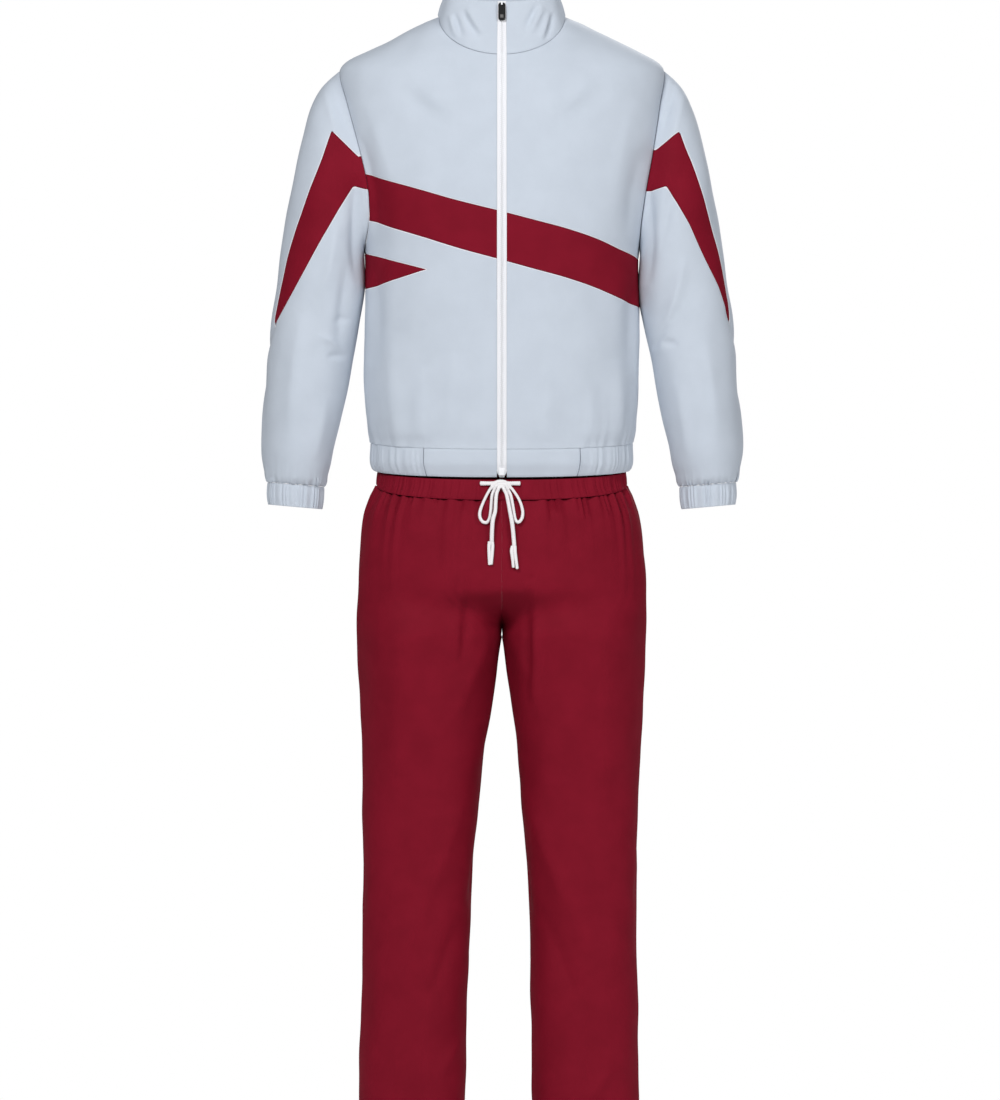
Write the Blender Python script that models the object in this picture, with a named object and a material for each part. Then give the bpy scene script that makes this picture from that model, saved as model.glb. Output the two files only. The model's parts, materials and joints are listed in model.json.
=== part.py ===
"""Tracksuit: a zip jacket above its trousers, both filled out and hollow.

Metres, +Z up, the front faces -Y and the wearer's right is -X. The origin lies
between the wearer's shoulders, level with the base of the neck at the sides.
Heights run down from there. A form is a smooth surface that its table of
sections gives, and a piece of cloth is a patch of it with a wall inwards.
"""
from collections import namedtuple
from math import acos, asin, cos, pi, sin, sqrt

import bmesh
import bpy
from mathutils import Vector

MM = 0.001
WALL = 0.002            # cloth, with what its seams and folds add
SEAM = 0.0003           # gap between pieces
ROUND = 2.3             # fullness of the body's sections, 2 is an ellipse
QUARTER = pi / 2
FIRST_GUESS = -0.3      # height at which the search for an edge's height starts

# Jacket's body, in mm: half width at the side, depth in front and behind.
Body = namedtuple("Body", "height half front back")
JACKET = [Body(*row) for row in (
    (20, 64, 44, 50), (12, 76, 52, 58), (4.6, 94.7, 60, 66), (-12, 131, 70, 80),
    (-30, 167, 78, 90), (-45, 198, 87, 97), (-61, 229, 94, 103), (-76.5, 243.5, 101, 109),
    (-120, 242, 114, 118), (-200, 236, 126, 123), (-270, 224, 130, 120),
    (-320, 212, 130, 117), (-345, 206.5, 129, 116), (-420, 205, 126, 113),
    (-570, 203.6, 123, 114), (-615, 200.6, 120, 112), (-636, 196.5, 117, 110),
    (-665, 196.5, 116.5, 110), (-680, 191, 111, 105), (-690, 187, 108, 102))]
HIPS = [Body(*row) for row in (
    (-670, 185, 106, 101), (-690, 186.5, 107, 102), (-702, 189, 109, 105),
    (-716, 196, 112, 108),
    (-743, 205.5, 117, 116), (-787, 211.5, 121, 124), (-844, 214.5, 122, 131),
    (-935, 213.5, 118, 128), (-1000, 211, 112, 120))]

# A leg, in mm: its outer and inner edge from the middle, and its depths.
Leg = namedtuple("Leg", "height outer inner front back shift")
LEGS = [Leg(*row) for row in (
    (-800, 213, 0.5, 121, 128, 0), (-880, 214.5, 1, 119, 128, 0),
    (-935, 213.5, 7.5, 114, 122, 0), (-968, 212.5, 13, 110, 117, 0),
    (-1020, 210.5, 20, 103, 109, 0), (-1090, 208.5, 27, 94, 100, -1),
    (-1160, 207, 32, 85, 91, -2), (-1240, 206, 38, 80, 86, -3),
    (-1335, 205.5, 43.5, 76, 82, -3), (-1490, 206, 49.7, 71, 77, -4),
    (-1620, 207.5, 53, 68, 75, -5), (-1695, 208.5, 54, 67, 74, -5))]
LEG_HEM = -1695 * MM
FORK_TOP, FORK = -850 * MM, -924 * MM
LEG_SEAM_TURN = 0.0012  # half a seam's gap, as a turn
FORK_SPREAD = 0.2       # turn within which the wall at the middle seam runs straight back

# Sleeve rings, in mm: where each meets the arm's outer and inner line, seen
# from the front as distance from the middle and drop, and half its depth.
Ring = namedtuple("Ring", "out out_drop into into_drop deep ahead")
SLEEVE = [Ring(*row) for row in (
    (243.0, 76.5, 206.5, 345.0, 66, 0), (270.0, 102.0, 207.8, 352.0, 71, 0),
    (287.0, 134.0, 207.4, 363.0, 74, 0), (299.5, 177.0, 207.0, 380.0, 75, 0),
    (309.0, 219.0, 207.0, 400.0, 75, 1), (318.5, 270.0, 208.6, 425.0, 73, 2),
    (330.0, 337.0, 213.6, 458.0, 70, 3), (338.5, 398.0, 220.0, 491.0, 67, 4),
    (345.5, 447.0, 227.5, 529.0, 64, 6), (350.0, 503.0, 235.0, 571.0, 62, 8),
    (353.5, 552.0, 241.8, 603.0, 60, 9), (357.5, 607.0, 250.0, 638.0, 57, 10),
    (358.5, 645.0, 255.5, 666.0, 53, 11), (356.0, 672.0, 261.5, 684.0, 46, 12),
    (351.0, 693.0, 266.5, 700.0, 36, 12))]
CUFF = [Ring(*row) for row in (
    (351.0, 693.4, 266.5, 700.4, 35, 12), (351.5, 712.0, 267.5, 719.0, 34.5, 12),
    (350.0, 727.0, 269.5, 734.0, 33.5, 12))]
CUFF_RIBS, CUFF_RAISE = 34, 1.1 * MM

# Armhole: an upright loop on the jacket's side.
ARM_TOP, ARM_FOOT = -76.5 * MM, -345 * MM
ARM_LEAN = 0.35         # how much deeper the hole is low down
Side = namedtuple("Side", "name sign arm_front arm_back")
RIGHT = Side("right", -1, 67 * MM, 60 * MM)
LEFT = Side("left", 1, 46 * MM, 72 * MM)
SIDES = (RIGHT, LEFT)

# Dark inserts of the sleeves seen from the front, in mm: distance from the
# middle and drop, from the armhole over the peak and down to the point.
SPIKES = {
    "right": {"upper": ((207, 203), (213.5, 207.6), (254, 168), (268.5, 218), (281.5, 255.5),
                        (303, 312), (319, 354.5), (332.5, 405.5), (345.5, 462)),
              "lower": ((196, 256), (204.8, 255), (221.5, 253), (241.5, 282), (265.5, 328),
                        (297.8, 384), (321.9, 427), (344.5, 462))},
    "left": {"upper": ((220, 193), (229, 197), (266, 168), (278.5, 194.5), (294, 243.5),
                       (314, 303.6), (328.5, 343.8), (340, 392.6), (348, 459)),
             "lower": ((212, 257.7), (222.3, 257.7), (245.5, 250), (262.5, 275), (282.6, 312.3),
                       (302.7, 358.2), (325.7, 401.3), (347, 459))}}
SPIKE_ROWS = {"right": 8.2, "left": 8.15}
SLEEVE_RADIUS = 70 * MM
NO_CROSSING = 0.16      # angle of the insert's point, where no line crosses a ring

# Collar, in mm of height unless said.
NECK_HALF = 94.7 * MM
NECK_FRONT, NECK_SIDE, NECK_BACK = -53.4 * MM, 4.6 * MM, 12 * MM
COLLAR_TOP_FRONT, COLLAR_TOP_BACK = 26.3 * MM, 58 * MM
COLLAR_TOP_HALF = 83 * MM
COLLAR_LEAN_FRONT, COLLAR_LEAN_BACK = 10 * MM, 2 * MM
COLLAR_TALL = 70 * MM
NECK_CROWD = 0.22       # how much closer the columns stand at the neck's sides

# Slanting chest band, in mm: distance from the middle, positive on the
# wearer's left, and drop of its upper edge.
BAND = ((-215, 229), (-190, 237), (-124, 255.8), (-70, 271.5), (0, 289), (56, 303.6),
        (99, 315), (142, 329.6), (176, 345), (196, 354), (206, 360), (220, 366))
BAND_TALL = 72.5 * MM
TIP_AT, TIP_DROP = -113 * MM, -375.6 * MM
TIP_UPPER, TIP_LOWER = -351 * MM, -405 * MM
BACK_BAND_LOW_LEFT = -432 * MM

HEM_SEAM, HEM_FOOT, HEM_DIP = -634 * MM, -676 * MM, 10.5 * MM
HEM_FLAT_HALF = 117 * MM
HEM_SEAM_TURN = 0.0048  # gap of the band's upright seams, as a turn
HEM_RIBS, HEM_RAISE = 44, 1.2 * MM
WAIST_TOP, WAIST_TOP_DIP = -676.5 * MM, 13.5 * MM
WAIST_SEAM, WAIST_SEAM_DIP = -698 * MM, 22 * MM
WAIST_RIBS, WAIST_RAISE = 76, 1.3 * MM

TAPE_HALF = 7.2 * MM
TEETH_GAP = 0.15 * MM

LIGHT = (0.58, 0.65, 0.74)
DARK = (0.20, 0.011, 0.022)
WHITE = (0.85, 0.85, 0.88)
BLACK = (0.018, 0.019, 0.022)


def read_off(rows, at, scale=MM):
    """All columns of a table at one value of its first column, on a smooth curve."""
    keys = [row[0] * scale for row in rows]
    rising = keys[-1] > keys[0]
    last = len(rows) - 2
    low = 0
    while low < last and (at > keys[low + 1]) == rising and at != keys[low + 1]:
        low += 1
    span = keys[low + 1] - keys[low]
    part = min(max((at - keys[low]) / span, 0.0), 1.0)

    def slope(row, column):
        before, after = max(row - 1, 0), min(row + 1, len(rows) - 1)
        return (rows[after][column] - rows[before][column]) * scale / (keys[after] - keys[before])

    values = []
    for column in range(1, len(rows[0])):
        start, end = rows[low][column] * scale, rows[low + 1][column] * scale
        rise = end - start
        m0, m1 = slope(low, column) * span, slope(low + 1, column) * span
        values.append(start + part * (m0 + part * (3 * rise - 2 * m0 - m1
                                                   + part * (m0 + m1 - 2 * rise))))
    return values


def ease(value):
    value = min(max(value, 0.0), 1.0)
    return value * value * (3 - 2 * value)


def mix(start, end, part):
    return start + (end - start) * part


def oval(half, front, back, turn):
    """Point across and ahead on a section: turn 0 is in front, a quarter is the left side."""
    across = half * abs(sin(turn)) ** (2 / ROUND) * (1 if sin(turn) > 0 else -1)
    deep = abs(cos(turn)) ** (2 / ROUND)
    return across, (-front if cos(turn) > 0 else back) * deep


def jacket(turn, height):
    across, ahead = oval(*read_off(JACKET, height), turn)
    return Vector((across, ahead, height))


def hips(turn, height):
    across, ahead = oval(*read_off(HIPS, height), turn)
    return Vector((across, ahead, height))


def turn_at(rows, across, height):
    """Turn from the front at which a section is so far from the middle."""
    half = read_off(rows, height)[0]
    ratio = min(abs(across) / half, 1.0) ** (ROUND / 2)
    return (1 if across > 0 else -1) * (QUARTER - acos(ratio))


def side_turn(rows, height, away):
    """Turn from the middle to a line at some depth ahead of (or behind) the side."""
    half, front, back = read_off(rows, height)
    deep = front if away < 0 else back
    return acos(min(abs(away) / deep, 1.0) ** (ROUND / 2))


def normal_of(form, p, q):
    step_p, step_q = 1e-3, 2e-4
    along = form(p + step_p, q) - form(p - step_p, q)
    up = form(p, q + step_q) - form(p, q - step_q)
    return along.cross(up).normalized()


def material(name, colour, rough=0.75, metal=0.0):
    found = bpy.data.materials.get(name)
    if found:
        return found
    made = bpy.data.materials.new(name)
    made.use_nodes = True
    shader = made.node_tree.nodes["Principled BSDF"]
    shader.inputs["Base Color"].default_value = (*colour, 1)
    shader.inputs["Roughness"].default_value = rough
    shader.inputs["Metallic"].default_value = metal
    return made


def finish_object(name, bm, look):
    mesh = bpy.data.meshes.new(name)
    bm.to_mesh(mesh)
    bm.free()
    mesh.materials.append(look)
    made = bpy.data.objects.new(name, mesh)
    bpy.context.scene.collection.objects.link(made)
    return made


def cloth(name, columns, rows, place, look, raise_at=None, drop=None, inner=WALL, outer=0.0):
    """A wall of cloth.

    place(u, v, depth) gives the point that lies depth inside the outer surface.
    raise_at(u, v) moves an outer point out, and drop(u, v) leaves a face out.
    """
    bm = bmesh.new()
    bmesh.ops.create_grid(bm, x_segments=columns, y_segments=rows, size=0.5)
    u_layer = bm.verts.layers.float.new("u")
    v_layer = bm.verts.layers.float.new("v")
    for vert in bm.verts:
        vert[u_layer], vert[v_layer] = vert.co.x + 0.5, vert.co.y + 0.5
    if drop:
        gone = [face for face in bm.faces
                if drop(face.calc_center_median().x + 0.5, face.calc_center_median().y + 0.5)]
        bmesh.ops.delete(bm, geom=gone, context="FACES")
    for vert in bm.verts:
        vert.co = place(vert[u_layer], vert[v_layer], inner)
    bmesh.ops.remove_doubles(bm, verts=bm.verts, dist=2e-5)
    bmesh.ops.dissolve_degenerate(bm, dist=1e-6, edges=bm.edges)
    made = bmesh.ops.extrude_face_region(bm, geom=bm.faces[:])
    for vert in made["geom"]:
        if isinstance(vert, bmesh.types.BMVert):
            raised = raise_at(vert[u_layer], vert[v_layer]) if raise_at else 0.0
            vert.co = place(vert[u_layer], vert[v_layer], outer - raised)
    bmesh.ops.recalc_face_normals(bm, faces=bm.faces)
    return finish_object(name, bm, look)


def patch(bottom, top, left, right):
    """A four-sided patch between its edges, each a function of a part from 0 to 1."""
    def at(u, v):
        corners = mix(mix(bottom(0), bottom(1), u), mix(top(0), top(1), u), v)
        return mix(bottom(u), top(u), v) + mix(left(v), right(v), u) - corners
    return at


def wall_on(form, spots):
    """Where a patch of a form lies, some depth inside its outer surface."""
    def place(u, v, depth):
        turn, height = spots(u, v)
        return form(turn, height) - depth * normal_of(form, turn, height)
    return place


# Jacket's edges.

def arm_away(side, lift, behind):
    """Depth of the armhole's edge ahead of or behind the side, lift 0 at its foot, 1 on top."""
    if not 0 < lift < 1:
        return 0.0
    rise = 2 * lift - 1
    deep = side.arm_back if behind else side.arm_front
    return sqrt(1 - rise * rise) * (1 - ARM_LEAN * rise) * deep


def edge_turn(side, height, behind=False):
    """Turn of a body panel's side edge: side seam, armhole or shoulder seam."""
    lift = (height - ARM_FOOT) / (ARM_TOP - ARM_FOOT)
    away = arm_away(side, lift, behind) + SEAM / 2
    turn = side_turn(JACKET, height, away if behind else -away)
    return pi - side.sign * turn if behind else side.sign * turn


def armhole(side, angle):
    """A point of the armhole: angle 0 on top, a quarter in front, half at the foot."""
    lift = (1 + cos(angle)) / 2
    height = mix(ARM_FOOT, ARM_TOP, lift)
    behind = sin(angle) < 0
    away = arm_away(side, lift, behind)
    turn = side_turn(JACKET, height, away if behind else -away)
    return (pi - side.sign * turn if behind else side.sign * turn), height


# Rows of the body's panels that end at each armhole. The sleeves are set in there.
HOLE_EDGE = {"right": [], "left": []}


def side_edge(side, low, high, rows, behind=False):
    """Side edge of a body panel from low to high, with a row at each of its corners."""
    stops = [low] + [stop for stop in (ARM_FOOT, ARM_TOP) if low < stop < high] + [high]
    shares = [max(1, round(rows * (b - a) / (high - low))) for a, b in zip(stops, stops[1:])]
    shares[shares.index(max(shares))] += rows - sum(shares)
    heights = [low]
    for start, end, count in zip(stops, stops[1:], shares):
        for step in range(1, count + 1):
            part = step / count
            if start >= ARM_FOOT and end <= ARM_TOP:
                reach = ARM_TOP - ARM_FOOT
                first = acos(min(1, 2 * (start - ARM_FOOT) / reach - 1))
                last = acos(min(1, 2 * (end - ARM_FOOT) / reach - 1))
                heights.append(mix(ARM_FOOT, ARM_TOP, (1 + cos(mix(first, last, part))) / 2))
            else:
                heights.append(mix(start, end, part))

    HOLE_EDGE[side.name] += [(height, behind) for height in heights
                             if ARM_FOOT <= height <= ARM_TOP]

    def at(v):
        height = heights[round(v * rows)]
        return Vector((edge_turn(side, height, behind), height))
    return at


def middle_edge(side, low, high):
    """Front edge of a body panel, beside the zip."""
    def at(v):
        height = mix(low, high, v)
        return Vector((turn_at(JACKET, side.sign * (TAPE_HALF + SEAM), height), height))
    return at


def neckline(turn):
    """Turn and height on the jacket of the neckline, at a turn of the neck's own."""
    across = NECK_HALF * sin(turn)
    if cos(turn) >= 0:
        height = mix(NECK_FRONT, NECK_SIDE, 1 - cos(turn))
        return Vector((turn_at(JACKET, across, height), height))
    height = mix(NECK_SIDE, NECK_BACK, 1 - abs(sin(turn)))
    return Vector((pi - turn_at(JACKET, across, height), height))


def band_edge(turn, down=0.0):
    """Height of the chest band's upper edge, or of a line so far below it."""
    height = FIRST_GUESS
    for _ in range(3):
        height = -read_off(BAND, jacket(turn, height).x)[0]
    return height - down


def band_end(side, down):
    height = FIRST_GUESS
    for _ in range(12):
        height = band_edge(edge_turn(side, height), down)
    return height


def back_line(right, left):
    """Height behind of a level edge that runs from one side to the other."""
    return lambda turn: mix(left, right, (turn - QUARTER) / pi)


def dip(turn, level, deep):
    """A hem's height: level round the back, deeper at the middle of the front."""
    return level - deep * max(cos(turn), 0.0)


FRONT_COLUMNS, TIP_COLUMN, BACK_COLUMNS = 9, 3, 16


def front_turn(side, u, start, end):
    """Turn of a front's column: on the right side one column meets the dark point's tip."""
    column = round(u * FRONT_COLUMNS)
    if side is LEFT:
        return mix(start, end, column / FRONT_COLUMNS)
    tip_turn = turn_at(JACKET, TIP_AT, TIP_DROP)
    if column <= TIP_COLUMN:
        return mix(start, tip_turn, column / TIP_COLUMN)
    return mix(tip_turn, end, (column - TIP_COLUMN) / (FRONT_COLUMNS - TIP_COLUMN))


def front_panel(name, side, rows, low, high, look):
    """A front panel between two edges, given as heights by turn."""
    middle = turn_at(JACKET, side.sign * (TAPE_HALF + SEAM), low(0.0))
    middle_low, middle_high = low(middle), high(middle)
    side_low = side_high = FIRST_GUESS
    for _ in range(12):
        side_low = low(edge_turn(side, side_low))
        side_high = high(edge_turn(side, side_high))
    left = middle_edge(side, middle_low, middle_high)
    right = side_edge(side, side_low, side_high, rows)

    def edge(line, start, end):
        def at(u):
            turn = front_turn(side, u, start[0], end[0])
            return Vector((turn, line(turn)))
        return at
    spots = patch(edge(low, left(0), right(0)), edge(high, left(1), right(1)), left, right)
    cloth(name, FRONT_COLUMNS, rows, wall_on(jacket, spots), look)


def neck_turn(part):
    """Turn round the neck, with closer steps at its sides."""
    return pi * part + NECK_CROWD * sin(2 * pi * part)


def neck_part(turn):
    part = turn / pi
    for _ in range(20):
        part -= (neck_turn(part) - turn) / pi
    return part


def front_upper(side, light):
    beside_zip = side.sign * (TAPE_HALF + SEAM)
    first = asin(abs(beside_zip) / NECK_HALF)
    first_part = neck_part(first)

    def top(u):
        spot = neckline(side.sign * neck_turn(mix(first_part, 0.5, u)))
        return Vector((spot[0], spot[1] - SEAM / 2))

    def bottom(u):
        turn = front_turn(side, u, turn_at(JACKET, beside_zip, band_edge(0.0)), right(0)[0])
        return Vector((turn, band_edge(turn) + SEAM / 2))
    right = side_edge(side, band_end(side, -SEAM / 2), NECK_SIDE, 9)
    left = middle_edge(side, bottom(0)[1], top(0)[1])
    cloth(f"front_{side.name}_upper", FRONT_COLUMNS, 9,
          wall_on(jacket, patch(bottom, top, left, right)), light)


def front_lower_left(light):
    def low(turn):
        return dip(turn, HEM_SEAM, HEM_DIP) + SEAM / 2

    def high(turn):
        return band_edge(turn, BAND_TALL + SEAM / 2)
    front_panel("front_left_lower", LEFT, 9, low, high, light)


def notch_line(turn, root):
    """Height of an edge of the pointed insert, from its tip to its root at the side."""
    tip_turn = turn_at(JACKET, TIP_AT, TIP_DROP)
    return mix(TIP_DROP, root, (turn - tip_turn) / (-QUARTER - tip_turn))


def front_lower_right(light):
    """Right lower front: one piece of cloth with a notch that the dark point fills."""
    low_rows, high_rows = 8, 2
    rows = low_rows + 1 + high_rows
    tip_turn = turn_at(JACKET, TIP_AT, TIP_DROP)

    def slot(turn, root, off):
        if turn >= tip_turn - 1e-6:
            return TIP_DROP
        return notch_line(turn, root + off)

    hem = dip(0.0, HEM_SEAM, HEM_DIP) + SEAM / 2
    band = band_edge(0.0, BAND_TALL + SEAM / 2)
    band_side = band_end(RIGHT, BAND_TALL + SEAM / 2)
    sliver_side = side_edge(RIGHT, TIP_UPPER + SEAM / 2, band_side, high_rows)

    def spots(u, v):
        row = round(v * rows)
        if row <= low_rows:
            part = row / low_rows
            start = turn_at(JACKET, -TAPE_HALF - SEAM, mix(hem, TIP_DROP, part))
            turn = front_turn(RIGHT, u, start, edge_turn(RIGHT, TIP_LOWER))
            return turn, mix(dip(turn, HEM_SEAM, HEM_DIP) + SEAM / 2,
                             slot(turn, TIP_LOWER, -SEAM / 2), part)
        return sliver(u, (row - low_rows - 1) / high_rows)

    def sliver_low(u):
        turn = front_turn(RIGHT, u, turn_at(JACKET, -TAPE_HALF - SEAM, TIP_DROP), sliver_side(0)[0])
        return Vector((turn, slot(turn, TIP_UPPER, SEAM / 2)))

    def sliver_high(u):
        turn = front_turn(RIGHT, u, turn_at(JACKET, -TAPE_HALF - SEAM, band), sliver_side(1)[0])
        return Vector((turn, band_edge(turn, BAND_TALL + SEAM / 2)))
    sliver = patch(sliver_low, sliver_high, middle_edge(RIGHT, TIP_DROP, sliver_high(0)[1]),
                   sliver_side)

    def in_slot(u, v):
        return low_rows < v * rows < low_rows + 1 and u * FRONT_COLUMNS > TIP_COLUMN
    cloth("front_right_lower", FRONT_COLUMNS, rows, wall_on(jacket, spots), light, drop=in_slot)


def front_tip(dark):
    """The dark point between the back band and its tip on the right front."""
    start = turn_at(JACKET, TIP_AT - 1.3 * MM, TIP_DROP)
    end = edge_turn(RIGHT, TIP_LOWER)

    def spots(u, v):
        turn = mix(start, end, u)
        low = mix(TIP_DROP, TIP_LOWER + SEAM / 2, u)
        high = mix(TIP_DROP, TIP_UPPER - SEAM / 2, u)
        return turn, mix(low, high, v)
    cloth("front_right_tip", 6, 2, wall_on(jacket, spots), dark)


def chest_band(side, dark):
    def low(turn):
        return band_edge(turn, BAND_TALL - SEAM / 2)

    def high(turn):
        return band_edge(turn, SEAM / 2)
    front_panel(f"front_{side.name}_band", side, 2, low, high, dark)


def back_panel(name, columns, rows, low, high, look, top_right, top_left):
    """A back panel from the right side to the left one; with no high line it ends at the neck."""
    right = side_edge(RIGHT, low(QUARTER + pi), top_right, rows, behind=True)
    left = side_edge(LEFT, low(QUARTER), top_left, rows, behind=True)

    def bottom(u):
        turn = mix(right(0)[0], left(0)[0], u)
        return Vector((turn, low(turn)))

    def top(u):
        if not high:
            spot = neckline(neck_turn(mix(1.5, 0.5, u)))
            return Vector((spot[0], spot[1] - SEAM / 2))
        turn = mix(right(1)[0], left(1)[0], u)
        return Vector((turn, high(turn)))
    cloth(name, columns, rows, wall_on(jacket, patch(bottom, top, right, left)), look)


def backs(light, dark):
    band_left = band_edge(QUARTER)
    top = back_line(TIP_UPPER, band_left)
    low = back_line(TIP_LOWER, BACK_BAND_LOW_LEFT)
    back_panel("back_upper", BACK_COLUMNS, 10, lambda turn: top(turn) + SEAM / 2, None, light,
               NECK_SIDE, NECK_SIDE)
    back_panel("back_band", BACK_COLUMNS, 2, lambda turn: low(turn) + SEAM / 2,
               lambda turn: top(turn) - SEAM / 2, dark,
               TIP_UPPER - SEAM / 2, band_left - SEAM / 2)
    back_panel("back_lower", BACK_COLUMNS, 6, lambda turn: HEM_SEAM + SEAM / 2,
               lambda turn: low(turn) - SEAM / 2, light,
               TIP_LOWER - SEAM / 2, BACK_BAND_LOW_LEFT - SEAM / 2)


# Hem band.

def hem_band(name, first, last, columns, look, raise_at=None):
    """A stretch of the hem band from first(height) to the last turn."""
    def spots(u, v):
        middle = mix(first(HEM_SEAM), last, u)
        height = mix(dip(middle, HEM_FOOT, HEM_DIP), dip(middle, HEM_SEAM, HEM_DIP) - SEAM / 2, v)
        return mix(first(height), last, u), height
    cloth(name, columns, 2, wall_on(jacket, spots), look, raise_at)


def hem(light):
    flat_turn = turn_at(JACKET, HEM_FLAT_HALF, HEM_SEAM)
    for side in SIDES:
        def beside_zip(height, side=side):
            return turn_at(JACKET, side.sign * (TAPE_HALF + SEAM), height)
        hem_band(f"hem_front_{side.name}", beside_zip, side.sign * flat_turn, 4, light)
    columns = 2 * HEM_RIBS
    first = flat_turn + HEM_SEAM_TURN
    hem_band("hem_back", lambda height: first, 2 * pi - first, columns, light,
             lambda u, v: HEM_RAISE * (round(u * columns) % 2) * (0 < v < 1))


# Collar.

def collar_spot(turn, part):
    """Point of the collar: part 0 on the neckline, 1 on the top edge."""
    on_jacket, height = neckline(turn)
    base = jacket(on_jacket, height)
    rise = (1 - cos(turn)) / 2
    lean = mix(COLLAR_LEAN_FRONT, COLLAR_LEAN_BACK, rise)
    top = Vector((base.x * COLLAR_TOP_HALF / NECK_HALF,
                  base.y * (1 - lean / max(abs(jacket(0, NECK_FRONT).y), 1e-3)),
                  mix(COLLAR_TOP_FRONT, COLLAR_TOP_BACK, rise)))
    return mix(base, top, part)


def collar(light):
    first = neck_part(TAPE_HALF / NECK_HALF + SEAM / NECK_HALF)

    def place(u, v, depth):
        turn = neck_turn(mix(first, 2 - first, u))
        low = SEAM / COLLAR_TALL
        spot = collar_spot(turn, mix(low, 1, v))
        return spot - depth * normal_of(collar_spot, turn, mix(low, 1, v))
    cloth("collar", 30, 3, place, light)


# Sleeves.

def numbered(rows):
    return [(index / MM, *row) for index, row in enumerate(rows)]


SLEEVE_ROWS = numbered(SLEEVE)
CUFF_ROWS = numbered(CUFF)
LAST_RING = len(SLEEVE) - 1
ARM_BLEND = 4.0


def arm_ring(rows, side, at, angle):
    """Point of a sleeve ring: angle 0 on the outer line, a quarter in front."""
    out, out_drop, into, into_drop, deep, ahead = read_off(rows, at)
    across = mix(into, out, (1 + cos(angle)) / 2)
    height = -mix(into_drop, out_drop, (1 + cos(angle)) / 2)
    return Vector((side.sign * across, -ahead - deep * sin(angle), height))


def hole_stations(side):
    """Angle, point and outward direction at each row end round the armhole."""
    found = []
    for height, behind in HOLE_EDGE[side.name]:
        rise = 2 * (height - ARM_FOOT) / (ARM_TOP - ARM_FOOT) - 1
        angle = acos(min(max(rise, -1.0), 1.0))
        found.append(2 * pi - angle if behind else angle)
    found = sorted(found)
    angles = [found[0]] + [b for a, b in zip(found, found[1:]) if b - a > 0.012]
    return [(angle, jacket(*armhole(side, angle)), normal_of(jacket, *armhole(side, angle)))
            for angle in angles]


def on_hole(stations, angle):
    """Point and outward direction on the straight stretches between the stations."""
    angle %= 2 * pi
    ring = stations + [(stations[0][0] + 2 * pi, *stations[0][1:])]
    for (a, point_a, out_a), (b, point_b, out_b) in zip(ring, ring[1:]):
        if a <= angle <= b:
            part = (angle - a) / (b - a)
            return mix(point_a, point_b, part), mix(out_a, out_b, part).normalized()
    return ring[0][1], ring[0][2]


def sleeve_form(side):
    stations = hole_stations(side)

    def form(angle, at):
        point = arm_ring(SLEEVE_ROWS, side, at, angle)
        if at < ARM_BLEND:
            off = on_hole(stations, angle)[0] - arm_ring(SLEEVE_ROWS, side, 0, angle)
            point += off * (1 - max(at, 0) / ARM_BLEND) ** 2
        return point
    return form


def sleeve_wall(side):
    """Place of a sleeve's cloth: at the armhole it lies in line with the body's cloth."""
    form = sleeve_form(side)
    stations = hole_stations(side)

    def place(angle, at, depth):
        own = side.sign * normal_of(form, angle, max(at, 0.02))
        if at >= 2:
            return form(angle, at) - depth * own
        step = 0.01
        body = on_hole(stations, angle)[1]
        along = on_hole(stations, angle + step)[0] - on_hole(stations, angle - step)[0]
        away = side.sign * body.cross(along.normalized())
        turned = (1 - body.dot(own)) / 2
        out = mix((body + own) / 2 - away * turned, own, ease(at / 2)).normalized()
        return form(angle, at) + away * SEAM * (1 - at / 2) - depth * out
    return place


def crossing(side, at, line, fallback):
    """Angle at which a ring of the sleeve meets a line that is given as seen in front."""
    form = sleeve_form(side)
    steps = 60
    ring = [form(pi * step / steps, at) for step in range(steps + 1)]
    ring = [(abs(point.x), -point.z) for point in ring]
    for step in range(steps):
        (ax, az), (bx, bz) = ring[step], ring[step + 1]
        for (cx, cz), (dx, dz) in zip(line, line[1:]):
            cx, cz, dx, dz = cx * MM, cz * MM, dx * MM, dz * MM
            cross = (bx - ax) * (dz - cz) - (bz - az) * (dx - cx)
            if abs(cross) < 1e-12:
                continue
            s = ((cx - ax) * (dz - cz) - (cz - az) * (dx - cx)) / cross
            t = ((cx - ax) * (bz - az) - (cz - az) * (bx - ax)) / cross
            if 0 <= s <= 1 and 0 <= t <= 1:
                return pi * (step + s) / steps
    return fallback


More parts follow.
